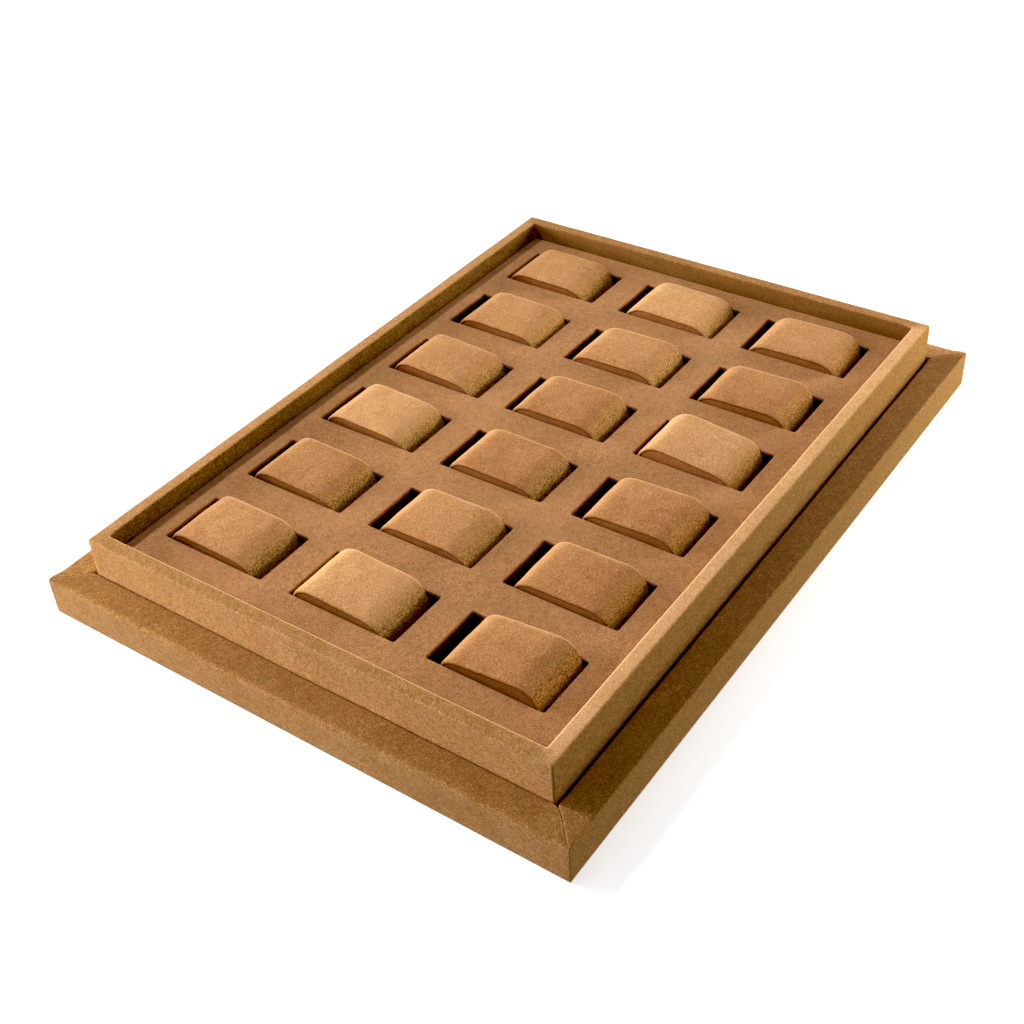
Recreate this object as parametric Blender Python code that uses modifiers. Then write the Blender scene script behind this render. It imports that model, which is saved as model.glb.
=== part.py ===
"""Suede-wrapped watch tray with eighteen loose pillows, standing in a low frame base.

Metres, +Z up. X runs along the tray's long side and Y across it, in the direction that a watch strap
lies. The origin is the middle of the underside. Rows are numbered from the front (-Y), columns from the
left (-X). u is a distance inwards from an outer face.
"""

import math

import bmesh
import bpy
from mathutils import Vector

# Sheet, board and fit sizes
suede_thickness = 0.0007
lining_thickness = 0.0007
base_board_thickness = 0.0020
tray_floor_thickness = 0.0020
fit_gap = 0.0003
cut_overrun = 0.0050

# Pillows: a foam core in a suede cover
pillow_width = 0.0360
pillow_length = 0.0566
pillow_height = 0.0316
pillow_shoulder = 0.0114
pillow_edge = 0.0013
pillow_crown = 0.0018
pillow_draw_in = 0.0004
cover_slot_length = 0.0260
cover_slot_width = 0.0140
greatest_lean = math.radians(6.0)

# Pockets that take the pillows, and the lands between them
pocket_side_clearance = 0.0007
pocket_end_clearance = 0.0049
pocket_corner_radius = 0.0015
pocket_lip_radius = 0.0007
flap_depth = 0.0160
land_x = 0.0239
land_y = 0.0184
margin_left = 0.0232
margin_right = 0.0169
margin_front = 0.0174
margin_back = 0.0136
deck_edge_gap = 0.0004
columns = 6
rows = 3

# Tray walls and the suede band round them
rim_width = 0.0080
deck_depth = 0.0101
tray_rise = 0.0226
tray_edge_radius = 0.0014
tray_turn_in = 0.0120
band_tuck = 0.0050

# Base frame
base_height = 0.0224
rail_width = 0.0164
well_gap_x = 0.0009
well_gap_y = 0.0024
rail_outer_radius = 0.0026
rail_inner_radius = 0.0018
rail_foot_radius = 0.0011
rail_turn_in = 0.0090
rebate_width = 0.0050
underside_margin = 0.0005

# Facets on rounds
corner_steps = 2
lip_steps = 1
edge_steps = 2
fold_steps = 3
shoulder_steps = 4
hollow_shoulder_steps = 3
hollow_edge_steps = 1
round_profile = 0.5
sharp_angle = math.radians(40.0)
least_fold_angle = math.radians(50.0)

# Where each pillow stands in its pocket, as shares of its free play (+ towards the back), and how it
# leans, as shares of the greatest lean (+ with its back end up). Rows run front to back.
place_shares = (
    (-0.47, -0.09, -0.15, 0.37, 0.16, 0.02),
    (0.63, -0.29, -0.19, 0.08, -0.05, -0.23),
    (0.47, 0.14, 0.19, 0.28, -0.38, 0.57),
)
lean_shares = (
    (-1.00, -0.20, -0.40, 0.90, -0.30, -0.15),
    (0.45, -0.15, 0.15, -0.15, -0.20, 0.20),
    (0.20, 0.30, 0.35, 0.50, 0.15, 0.15),
)
crown_line_shares_x = (-0.45, 0.45)
crown_line_shares_y = (0.0,)

# Colours (linear) and roughness of each finish
suede_tan = (0.418, 0.215, 0.092)
suede_deck = (0.340, 0.160, 0.075)
lining_brown = (0.120, 0.070, 0.035)
foam_dark = (0.060, 0.045, 0.030)
foam_cream = (0.620, 0.560, 0.420)
fibreboard = (0.330, 0.230, 0.140)
hardboard = (0.200, 0.120, 0.065)
suede_rough = 0.95
board_rough = 0.75

# Sizes worked out from those above
pocket_width = pillow_width + 2 * pocket_side_clearance
pocket_length = pillow_length + 2 * pocket_end_clearance
pitch_x = pocket_width + land_x
pitch_y = pocket_length + land_y
tray_length = 2 * rim_width + margin_left + margin_right + columns * pocket_width + (columns - 1) * land_x
tray_width = 2 * rim_width + margin_front + margin_back + rows * pocket_length + (rows - 1) * land_y
base_length = tray_length + 2 * (well_gap_x + rail_width)
base_width = tray_width + 2 * (well_gap_y + rail_width)
tray_top = base_height + tray_rise
deck_top = tray_top - deck_depth
sheet_step = suede_thickness + fit_gap
base_board_top = sheet_step + base_board_thickness
base_lining_top = base_board_top + fit_gap + lining_thickness
tray_bottom = base_lining_top + fit_gap
tray_floor_top = tray_bottom + sheet_step + tray_floor_thickness
tray_lining_top = tray_floor_top + fit_gap + lining_thickness
pillow_seat = tray_lining_top + fit_gap
block_top = deck_top - sheet_step
rail_rebate = rail_width - sheet_step - rebate_width
edge_radius = max(tray_edge_radius, sheet_step)
wall_inset = edge_radius - (edge_radius - sheet_step) / math.sqrt(2)
deck_inset = rim_width + deck_edge_gap


def clear_scene():
    """Empty the file of objects."""
    for old in list(bpy.data.objects):
        bpy.data.objects.remove(old, do_unlink=True)


def new_collection(name):
    """Add a collection to the scene."""
    group = bpy.data.collections.new(name)
    bpy.context.scene.collection.children.link(group)
    return group


def finish(piece, finish_name, colour, roughness):
    """Give a piece a material of its own."""
    material = bpy.data.materials.new(piece.name + "_" + finish_name)
    material.use_nodes = True
    shader = material.node_tree.nodes["Principled BSDF"]
    shader.inputs["Base Color"].default_value = (*colour, 1.0)
    shader.inputs["Roughness"].default_value = roughness
    shader.inputs["Metallic"].default_value = 0.0
    material.diffuse_color = (*colour, 1.0)
    piece.data.materials.clear()
    piece.data.materials.append(material)


def mesh_from(bm, name):
    """Turn a bmesh into mesh data with smooth rounds and sharp folds."""
    mesh = bpy.data.meshes.new(name)
    bm.to_mesh(mesh)
    bm.free()
    mesh.shade_smooth()
    mesh.set_sharp_from_angle(angle=sharp_angle)
    return mesh


def add_piece(name, mesh, group, parent=None):
    """Place mesh data in the scene as a named object."""
    piece = bpy.data.objects.new(name, mesh)
    group.objects.link(piece)
    piece.parent = parent
    return piece


def add_empty(name, group, location, parent=None):
    """Add an empty that carries the pieces of one moving part."""
    empty = bpy.data.objects.new(name, None)
    group.objects.link(empty)
    empty.location = location
    empty.parent = parent
    return empty


def flat_board(name, length, width, low, high):
    """A rectangular board or sheet, centred in plan, between two heights."""
    bm = bmesh.new()
    bmesh.ops.create_cube(bm, size=1.0)
    bmesh.ops.scale(bm, vec=(length, width, high - low), verts=bm.verts)
    bmesh.ops.translate(bm, vec=(0.0, 0.0, (low + high) / 2), verts=bm.verts)
    return mesh_from(bm, name)


def rounded_path(points, radii, steps):
    """Replace each inner corner of a right-angled path with an arc of its own radius."""
    path = [points[0]]
    for before, corner, after, radius in zip(points, points[1:], points[2:], radii):
        back = (before - corner).normalized() * radius
        ahead = (after - corner).normalized() * radius
        for step in range(steps + 1):
            angle = math.pi / 2 * step / steps
            path.append(corner + back + ahead - ahead * math.cos(angle) - back * math.sin(angle))
    path.append(points[-1])
    return path


def offset_corners(points, distance):
    """Shift a right-angled, right-turning path inwards by a distance."""
    headings = [(b - a).normalized() for a, b in zip(points, points[1:])]
    normals = [Vector((h.y, -h.x)) for h in headings]
    shifted = [points[0] + normals[0] * distance]
    for corner, first, second in zip(points[1:], normals, normals[1:]):
        shifted.append(corner + (first + second) * distance)
    shifted.append(points[-1] + normals[-1] * distance)
    return shifted


def folded_sheet(points, radii, thickness):
    """Section of a sheet folded along a path: out along its face, back along its inner side."""
    face = rounded_path(points, radii, fold_steps)
    inner_radii = [max(radius - thickness, fit_gap) for radius in radii]
    inside = rounded_path(offset_corners(points, thickness), inner_radii, fold_steps)
    return face + inside[::-1]


def mitred_strip(name, outline, strip_length, mitre_clearance):
    """Extrude a (u, z) section along X and shear both ends to 45 degrees.

    The outer face lies on Y = 0 and u runs along +Y.
    """
    bm = bmesh.new()
    half = strip_length / 2 - mitre_clearance
    section = [bm.verts.new((point.x - half, point.x, point.y)) for point in outline]
    cap = bm.faces.new(section)
    grown = bmesh.ops.extrude_face_region(bm, geom=[cap])
    for item in grown["geom"]:
        if isinstance(item, bmesh.types.BMVert):
            item.co.x = half - item.co.y
    bmesh.ops.recalc_face_normals(bm, faces=bm.faces)
    return mesh_from(bm, name)


def place_frame(prefix, sides, outline, length, width, group, parent, base_z):
    """Four mitred strips round a rectangle; returns them front, right, back, left."""
    clearance = fit_gap / math.sqrt(2)
    spots = (
        (length, (0.0, -width / 2), 0.0),
        (width, (length / 2, 0.0), math.pi / 2),
        (length, (0.0, width / 2), math.pi),
        (width, (-length / 2, 0.0), -math.pi / 2),
    )
    strips = []
    for side, (run, (x, y), turn) in zip(sides, spots):
        name = prefix + "_" + side
        mesh = mitred_strip(name, outline, run, clearance)
        strip = add_piece(name, mesh, group, parent)
        strip.location = (x, y, -base_z)
        strip.rotation_euler = (0.0, 0.0, turn)
        strips.append(strip)
    return strips


def outline_points(*pairs):
    """(u, z) pairs as vectors."""
    return [Vector(pair) for pair in pairs]


def rail_wrap_outline():
    """Suede strip: turned in under the rail, up its outside, over its top, down its inside."""
    path = outline_points(
        (rail_turn_in, 0.0),
        (0.0, 0.0),
        (0.0, base_height),
        (rail_width, base_height),
        (rail_width, base_board_top + fit_gap),
    )
    radii = (rail_foot_radius, rail_outer_radius, rail_inner_radius)
    return folded_sheet(path, radii, suede_thickness)


def rail_outline():
    """Wooden rail inside the strip, with a rebate below for the base board."""
    path = outline_points(
        (rail_rebate, sheet_step),
        (sheet_step, sheet_step),
        (sheet_step, base_height - sheet_step),
        (rail_width - sheet_step, base_height - sheet_step),
        (rail_width - sheet_step, base_board_top + fit_gap),
        (rail_rebate, base_board_top + fit_gap),
    )
    foot = max(rail_foot_radius - sheet_step, fit_gap)
    outer = max(rail_outer_radius - sheet_step, fit_gap)
    inner = max(rail_inner_radius - sheet_step, fit_gap)
    rounded = rounded_path(path[:5], (foot, outer, inner), fold_steps)
    return rounded + [path[5]]


def wall_outline():
    """Wall board of the tray, standing on the floor board."""
    low = tray_floor_top + fit_gap
    high = tray_top - wall_inset
    inner = rim_width - sheet_step
    return outline_points((wall_inset, low), (wall_inset, high), (inner, high), (inner, low))


def side_band():
    """Suede band round the tray: turned in below, up outside, over the rim and down inside."""
    bm = bmesh.new()
    bmesh.ops.create_cube(bm, size=1.0)
    height = tray_top - tray_bottom
    bmesh.ops.scale(bm, vec=(tray_length, tray_width, height), verts=bm.verts)
    bmesh.ops.translate(bm, vec=(0.0, 0.0, height / 2), verts=bm.verts)
    top = max(bm.faces, key=lambda face: face.calc_center_median().z)
    bottom = min(bm.faces, key=lambda face: face.calc_center_median().z)
    outer_edges = list(bm.edges)
    bmesh.ops.inset_region(bm, faces=[top], thickness=rim_width, use_even_offset=True)
    rim_edges = list(top.edges)
    bmesh.ops.inset_region(bm, faces=[bottom], thickness=tray_turn_in, use_even_offset=True)
    bmesh.ops.delete(bm, geom=[top, bottom], context="FACES_ONLY")
    leg = bmesh.ops.extrude_edge_only(bm, edges=rim_edges)
    hem = [item for item in leg["geom"] if isinstance(item, bmesh.types.BMVert)]
    bmesh.ops.translate(bm, vec=(0.0, 0.0, -deck_depth - band_tuck), verts=hem)
    round_edges(bm, outer_edges + rim_edges, edge_radius, edge_steps)
    return mesh_from(bm, "tray_wrap")


def window_lines(low_end, high_end, first_window, window, pitch, count, grow):
    """Grid lines along one axis: one end, both sides of each window, and the other end."""
    lines = [low_end]
    for index in range(count):
        low = first_window + index * pitch
        lines += [low - grow, low + window + grow]
    return lines + [high_end]


def windowed_sheet(lines_x, lines_y):
    """Flat open sheet on given grid lines, with every odd cell along both axes left out."""
    bm = bmesh.new()
    cells_x = len(lines_x) - 1
    cells_y = len(lines_y) - 1
    bmesh.ops.create_grid(bm, x_segments=cells_x, y_segments=cells_y, size=1.0)
    for vert in bm.verts:
        column = round((vert.co.x + 1.0) / 2.0 * cells_x)
        row = round((vert.co.y + 1.0) / 2.0 * cells_y)
        vert.co = (lines_x[column], lines_y[row], 0.0)
    middles_x = [(a + b) / 2 for a, b in zip(lines_x, lines_x[1:])]
    middles_y = [(a + b) / 2 for a, b in zip(lines_y, lines_y[1:])]
    windows = []
    for face in bm.faces:
        centre = face.calc_center_median()
        column = min(range(cells_x), key=lambda i: abs(middles_x[i] - centre.x))
        row = min(range(cells_y), key=lambda i: abs(middles_y[i] - centre.y))
        if column % 2 and row % 2:
            windows.append(face)
    bmesh.ops.delete(bm, geom=windows, context="FACES_ONLY")
    return bm


def folded_edges(bm):
    """Edges where a sheet turns sharply."""
    inner = [edge for edge in bm.edges if len(edge.link_faces) == 2]
    return [edge for edge in inner if edge.calc_face_angle() > least_fold_angle]


def round_edges(bm, edges, radius, steps):
    """Round edges over to a radius."""
    bmesh.ops.bevel(
        bm, geom=edges, offset=radius, segments=steps, affect="EDGES", profile=round_profile
    )


def pocket_low_corner():
    """Front left corner of the first pocket."""
    x = -tray_length / 2 + rim_width + margin_left
    y = -tray_width / 2 + rim_width + margin_front
    return x, y


def deck_cover_mesh():
    """Deck sheet with its edge and its window flaps turned down."""
    low_x, low_y = pocket_low_corner()
    half_x = tray_length / 2 - deck_inset
    half_y = tray_width / 2 - deck_inset
    lines_x = window_lines(-half_x, half_x, low_x, pocket_width, pitch_x, columns, 0.0)
    lines_y = window_lines(-half_y, half_y, low_y, pocket_length, pitch_y, rows, 0.0)
    bm = windowed_sheet(lines_x, lines_y)
    lips = [edge for edge in bm.edges if edge.is_boundary]
    turned = bmesh.ops.extrude_edge_only(bm, edges=lips)
    hems = [item for item in turned["geom"] if isinstance(item, bmesh.types.BMVert)]
    for vert in hems:
        at_edge = abs(vert.co.x) > half_x - fit_gap or abs(vert.co.y) > half_y - fit_gap
        vert.co.z = -(suede_thickness + sheet_step if at_edge else flap_depth)
    corners = [edge for edge in folded_edges(bm) if edge.verts[0].co.z != edge.verts[1].co.z]
    round_edges(bm, corners, pocket_corner_radius, corner_steps)
    lips = [edge for edge in folded_edges(bm) if edge.verts[0].co.z == edge.verts[1].co.z]
    round_edges(bm, lips, pocket_lip_radius, lip_steps)
    bmesh.ops.translate(bm, vec=(0.0, 0.0, deck_top - tray_bottom), verts=bm.verts)
    return mesh_from(bm, "deck_cover")


def pocket_block_mesh(row):
    """Foam block of one row, with a cut-out round each lined pocket."""
    low_x, low_y = pocket_low_corner()
    inset = deck_inset + sheet_step
    half_x = tray_length / 2 - inset
    half_y = tray_width / 2 - inset
    seam_low = low_y + row * pitch_y - land_y / 2 + fit_gap / 2
    seam_high = seam_low + pitch_y - fit_gap
    front = -half_y if row == 0 else seam_low
    back = half_y if row == rows - 1 else seam_high
    first_y = low_y + row * pitch_y
    lines_x = window_lines(-half_x, half_x, low_x, pocket_width, pitch_x, columns, sheet_step)
    lines_y = window_lines(front, back, first_y, pocket_length, pitch_y, 1, sheet_step)
    bm = windowed_sheet(lines_x, lines_y)
    bmesh.ops.translate(bm, vec=(0.0, 0.0, block_top - tray_bottom), verts=bm.verts)
    return mesh_from(bm, "pocket_block_row_" + str(row + 1))


def thicken(piece, thickness):
    """Give an open sheet its thickness, behind the face that shows."""
    solidify = piece.modifiers.new("thickness", "SOLIDIFY")
    solidify.thickness = thickness
    solidify.offset = -1.0
    solidify.use_even_offset = True


def pillow_block(inset, rounds, rim_rounds):
    """Pillow body, shrunk all round by an inset: a band with shoulders and a flat panel on each side."""
    size = Vector((pillow_width, pillow_length, pillow_height)) - 2 * Vector((inset, inset, inset))
    bm = bmesh.new()
    bmesh.ops.create_cube(bm, size=1.0)
    bmesh.ops.scale(bm, vec=size, verts=bm.verts)
    along_x = [edge for edge in bm.edges if edge.verts[0].co.x * edge.verts[1].co.x < 0.0]
    round_edges(bm, along_x, max(pillow_shoulder - inset, fit_gap), rounds)
    rims = [edge for edge in bm.edges if edge.verts[0].co.x * edge.verts[1].co.x > 0.0]
    round_edges(bm, rims, max(pillow_edge - inset, fit_gap), rim_rounds)
    return bm, size / 2


def pillow_form():
    """The outer form of a pillow, with its crown and drawn-in sides."""
    bm, half = pillow_block(0.0, shoulder_steps, edge_steps)
    lines = [(Vector((half.x * share, 0.0, 0.0)), (1.0, 0.0, 0.0)) for share in crown_line_shares_x]
    lines += [(Vector((0.0, half.y * share, 0.0)), (0.0, 1.0, 0.0)) for share in crown_line_shares_y]
    for point, normal in lines:
        everything = bm.verts[:] + bm.edges[:] + bm.faces[:]
        bmesh.ops.bisect_plane(bm, geom=everything, dist=0.0, plane_co=point, plane_no=normal)
    swell(bm, half)
    return bm


def hollow_form(inset, name):
    """Plain pillow body for the cover's hollow and for the core that fills it."""
    bm, _ = pillow_block(inset, hollow_shoulder_steps, hollow_edge_steps)
    return mesh_from(bm, name)


def swell(bm, half):
    """Crown the top of a pillow and draw its side panels in a little at mid height."""
    for vert in bm.verts:
        share_x = vert.co.x / half.x
        share_y = vert.co.y / half.y
        share_z = vert.co.z / half.z
        dome = (1.0 - share_x ** 2) * (1.0 - share_y ** 2)
        if share_z > 0.0:
            vert.co.z += pillow_crown * dome * share_z
        vert.co.x -= pillow_draw_in * share_x * (1.0 - share_z ** 2)


def pillow_cover_mesh(group, cutters):
    """Suede cover: the pillow's form, hollow for its core and open in a slot below."""
    whole = add_piece("pillow_cover_form", mesh_from(pillow_form(), "pillow_cover_form"), group)
    hollow = add_piece("pillow_hollow", hollow_form(suede_thickness, "pillow_hollow"), cutters)
    slot_high = -pillow_height / 2 + suede_thickness + cut_overrun
    slot_low = -pillow_height / 2 - cut_overrun
    slot_mesh = flat_board("pillow_slot", cover_slot_width, cover_slot_length, slot_low, slot_high)
    slot = add_piece("pillow_slot", slot_mesh, cutters)
    for cutter in (hollow, slot):
        cutter.hide_render = True
        cutter.display_type = "WIRE"
        cut = whole.modifiers.new(cutter.name, "BOOLEAN")
        cut.operation = "DIFFERENCE"
        cut.object = cutter
    evaluated = whole.evaluated_get(bpy.context.evaluated_depsgraph_get())
    mesh = bpy.data.meshes.new_from_object(evaluated)
    mesh.name = "pillow_cover"
    bpy.data.objects.remove(whole, do_unlink=True)
    return mesh


def lean_extents(angle):
    """Height and length that a pillow takes up when it leans by an angle."""
    straight_y = pillow_length - 2 * pillow_shoulder
    straight_z = pillow_height - 2 * pillow_shoulder
    tip = abs(math.sin(angle))
    level = math.cos(angle)
    height = straight_z * level + straight_y * tip + 2 * pillow_shoulder
    length = straight_y * level + straight_z * tip + 2 * pillow_shoulder
    return height, length


def pillow_place(row, column):
    """Where a pillow's middle stands, and how it leans."""
    low_x, low_y = pocket_low_corner()
    lean = greatest_lean * lean_shares[row][column]
    height, length = lean_extents(lean)
    play = (pocket_length - length) / 2 - fit_gap
    x = low_x + pocket_width / 2 + column * pitch_x
    y = low_y + pocket_length / 2 + row * pitch_y + play * place_shares[row][column]
    return (x, y, pillow_seat + height / 2), lean


def build_base(group):
    """Frame base: rails, their suede strips, the board let in from below, lining and underside."""
    sides = ("front", "right", "back", "left")
    rails = place_frame("base_rail", sides, rail_outline(), base_length, base_width, group, None, 0.0)
    for rail in rails:
        finish(rail, "fibreboard", fibreboard, board_rough)
    wraps = place_frame("base_wrap", sides, rail_wrap_outline(), base_length, base_width, group, None, 0.0)
    for wrap in wraps:
        finish(wrap, "suede", suede_tan, suede_rough)
    board_inset = 2 * (rail_rebate + fit_gap)
    board_mesh = flat_board(
        "base_board", base_length - board_inset, base_width - board_inset, sheet_step, base_board_top
    )
    finish(add_piece("base_board", board_mesh, group), "hardboard", hardboard, board_rough)
    well_inset = 2 * (rail_width + fit_gap)
    lining_mesh = flat_board(
        "base_lining",
        base_length - well_inset,
        base_width - well_inset,
        base_board_top + fit_gap,
        base_lining_top,
    )
    finish(add_piece("base_lining", lining_mesh, group), "lining", lining_brown, suede_rough)
    sheet_inset = 2 * (rail_turn_in + underside_margin)
    sheet_mesh = flat_board(
        "base_underside_sheet", base_length - sheet_inset, base_width - sheet_inset, 0.0, lining_thickness
    )
    finish(add_piece("base_underside_sheet", sheet_mesh, group), "lining", lining_brown, suede_rough)


def build_tray(group, tray):
    """Tray: walls, suede band, floor, lining, pocket blocks and deck cover, on the tray's empty."""
    sides = ("front", "right", "back", "left")
    walls = place_frame("tray_wall", sides, wall_outline(), tray_length, tray_width, group, tray, tray_bottom)
    for wall in walls:
        finish(wall, "fibreboard", fibreboard, board_rough)
    band = add_piece("tray_wrap", side_band(), group, tray)
    thicken(band, suede_thickness)
    finish(band, "suede", suede_tan, suede_rough)
    floor_mesh = flat_board(
        "tray_floor",
        tray_length - 2 * wall_inset,
        tray_width - 2 * wall_inset,
        sheet_step,
        sheet_step + tray_floor_thickness,
    )
    finish(add_piece("tray_floor", floor_mesh, group, tray), "hardboard", hardboard, board_rough)
    lining_inset = 2 * (rim_width - sheet_step + fit_gap)
    lining_mesh = flat_board(
        "tray_lining",
        tray_length - lining_inset,
        tray_width - lining_inset,
        tray_floor_top + fit_gap - tray_bottom,
        tray_lining_top - tray_bottom,
    )
    finish(add_piece("tray_lining", lining_mesh, group, tray), "lining", lining_brown, suede_rough)
    for row in range(rows):
        block = add_piece("pocket_block_row_" + str(row + 1), pocket_block_mesh(row), group, tray)
        thicken(block, block_top - pillow_seat)
        finish(block, "foam", foam_dark, board_rough)
    deck = add_piece("deck_cover", deck_cover_mesh(), group, tray)
    thicken(deck, suede_thickness)
    finish(deck, "suede", suede_deck, suede_rough)


def build_pillows(group, cutters, tray):
    """Eighteen pillows, each a cover and a core on an empty of its own."""
    cover_mesh = pillow_cover_mesh(group, cutters)
    core_mesh = hollow_form(sheet_step, "pillow_core")
    for row in range(rows):
        for column in range(columns):
            tag = str(row + 1) + str(column + 1)
            place, lean = pillow_place(row, column)
            stand = add_empty("pillow_" + tag, group, Vector(place) - tray.location, tray)
            stand.rotation_euler = (lean, 0.0, 0.0)
            cover = add_piece("pillow_cover_" + tag, cover_mesh.copy(), group, stand)
            finish(cover, "suede", suede_tan, suede_rough)
            core = add_piece("pillow_core_" + tag, core_mesh.copy(), group, stand)
            finish(core, "foam", foam_cream, board_rough)


def main():
    """Build the whole tray."""
    clear_scene()
    group = new_collection("watch_tray")
    cutters = new_collection("cutters")
    build_base(group)
    tray = add_empty("tray", group, (0.0, 0.0, tray_bottom))
    build_tray(group, tray)
    build_pillows(group, cutters, tray)


main()
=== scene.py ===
"""Looks of a suede-wrapped watch tray: fabric, boards, floor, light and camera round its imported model.

Metres, +Z up. X runs along the tray's long side, Y across it. Rows of pillows are numbered from the
front (-Y) and columns from the left (-X). u is a distance inwards from an outer face.
"""

import math
from contextlib import contextmanager

import bmesh
import bpy
import numpy as np
from bpy.props import FloatProperty, FloatVectorProperty, PointerProperty
from mathutils import Matrix, Vector, noise


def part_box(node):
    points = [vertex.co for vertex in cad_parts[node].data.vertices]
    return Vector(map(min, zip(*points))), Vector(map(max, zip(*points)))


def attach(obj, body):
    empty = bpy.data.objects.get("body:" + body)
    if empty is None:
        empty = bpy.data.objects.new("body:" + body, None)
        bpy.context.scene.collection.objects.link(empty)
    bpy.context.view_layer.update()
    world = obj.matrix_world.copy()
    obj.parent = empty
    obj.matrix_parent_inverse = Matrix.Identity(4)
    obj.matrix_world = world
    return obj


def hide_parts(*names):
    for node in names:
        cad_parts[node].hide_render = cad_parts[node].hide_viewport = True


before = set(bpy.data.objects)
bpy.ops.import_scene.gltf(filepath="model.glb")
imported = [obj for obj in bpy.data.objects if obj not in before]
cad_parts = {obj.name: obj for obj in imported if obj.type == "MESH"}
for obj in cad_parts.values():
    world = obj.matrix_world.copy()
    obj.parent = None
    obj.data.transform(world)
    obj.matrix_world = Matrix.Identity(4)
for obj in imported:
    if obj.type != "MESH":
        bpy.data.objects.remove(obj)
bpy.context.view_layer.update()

bl_info = {
    "name": "Watch tray looks",
    "version": (1, 0, 0),
    "blender": (4, 5, 0),
    "location": "View3D > Sidebar > Watch tray",
    "description": "Dresses the watch tray's packed model in suede, board and foam",
    "category": "Object",
}

mm = 0.001
sides = ("front", "right", "back", "left")
rows = 3
columns = 6

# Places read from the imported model
base_low, base_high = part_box("base_wrap_front")
side_low, side_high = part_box("base_wrap_right")
band_low, band_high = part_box("tray_wrap")
deck_low, deck_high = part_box("deck_cover")
floor_board_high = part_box("base_board")[1]
base_length = base_high.x - base_low.x
base_width = side_high.y - side_low.y
base_height = base_high.z
rail_width = base_high.y - base_low.y
tray_length = band_high.x - band_low.x
tray_width = band_high.y - band_low.y
tray_bottom = band_low.z
tray_top = band_high.z
deck_top = deck_high.z
flap_foot = deck_low.z
deck_gap = 0.4 * mm
rim_width = band_high.x - deck_high.x - deck_gap

# How finely fabric is modelled, and how close a point lies to an edge that it is on
fabric_step = 2.4 * mm
fold_steps = 5
corner_steps = 6
seam_stations = tuple(d * mm for d in (0.0, 0.25, 0.5, 0.8, 1.2, 1.7, 2.4, 3.3, 4.6, 6.2))
on_edge = 0.1 * mm


def linear_colour(code):
    """Turn an sRGB hex colour into linear red, green and blue."""
    parts = [int(code[i:i + 2], 16) / 255 for i in (1, 3, 5)]
    return tuple(c / 12.92 if c <= 0.04045 else ((c + 0.055) / 1.055) ** 2.4 for c in parts)


def length(name, text, value):
    """A length that a user can set, in metres."""
    kind = {"subtype": "DISTANCE", "unit": "LENGTH"}
    return FloatProperty(name=name, description=text, default=value, min=0.0, **kind)


def tint(name, text, code):
    """A colour that a user can set."""
    kind = {"subtype": "COLOR", "min": 0.0, "max": 1.0}
    return FloatVectorProperty(name=name, description=text, default=linear_colour(code), **kind)


class TraySizes(bpy.types.PropertyGroup):
    """Sizes of the fabric work."""

    suede: length("Suede", "Thickness of the suede", 0.7 * mm)
    slack: length("Slack", "How far glued suede strays from flat", 0.16 * mm)
    turn_in: length("Turn-in", "Suede turned in under the rails", 9.0 * mm)
    band_turn_in: length("Band turn-in", "Suede turned in under the tray", 12.0 * mm)
    band_tuck: length("Band tuck", "Suede band below the deck, inside", 5.0 * mm)
    rail_edge: length("Rail edge", "Radius of the base's outer top edge", 2.6 * mm)
    rail_corner: length("Rail corner", "Radius of that edge where it is pulled tight at a seam", 0.6 * mm)
    rail_inner_edge: length("Rail inner edge", "Radius of the base's inner top edge", 1.0 * mm)
    rail_foot: length("Rail foot", "Radius of the base's bottom edge", 0.7 * mm)
    seam_depth: length("Seam depth", "How deep the mitred seams are drawn in", 0.3 * mm)
    seam_width: length("Seam width", "How wide the mitred seams are drawn in", 0.4 * mm)
    seam_swing: length("Seam swing", "How far a mitred seam strays from straight", 0.6 * mm)
    rim_edge: length("Rim edge", "Radius of the tray's outer rim edge", 1.4 * mm)
    rim_inner_edge: length("Rim inner edge", "Radius of the tray's inner rim edge", 0.9 * mm)
    band_corner: length("Band corner", "Radius of the tray's upright corners", 1.0 * mm)
    window_corner: length("Window corner", "Radius of the deck windows' corners", 1.2 * mm)
    lip: length("Window lip", "Radius where the deck turns down into a window", 0.45 * mm)
    bead: length("Pillow bead", "How far a pillow's seam allowance stands proud", 0.12 * mm)
    pillow_rim: length("Pillow rim", "Radius of a pillow's edge beside its side panel", 1.1 * mm)
    panel_depth: length("Side panel depth", "How far a pillow's side panel is drawn in", 0.6 * mm)
    press: length("Pillow press", "How far a pillow's stuffing presses it towards its flaps", 0.35 * mm)
    spread: length("Pillow spread", "How far a pillow spreads above the deck", 0.5 * mm)
    back_fill: length("Pillow back fill", "How far the fullest pillow swells backwards", 2.2 * mm)
    crown: length("Pillow crown", "How far the pillow's top rises in the middle", 1.5 * mm)
    fill: FloatProperty(
        name="Pillow fill", description="How tightly a pillow is filled", default=0.8, min=0.0, max=1.0
    )


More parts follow.
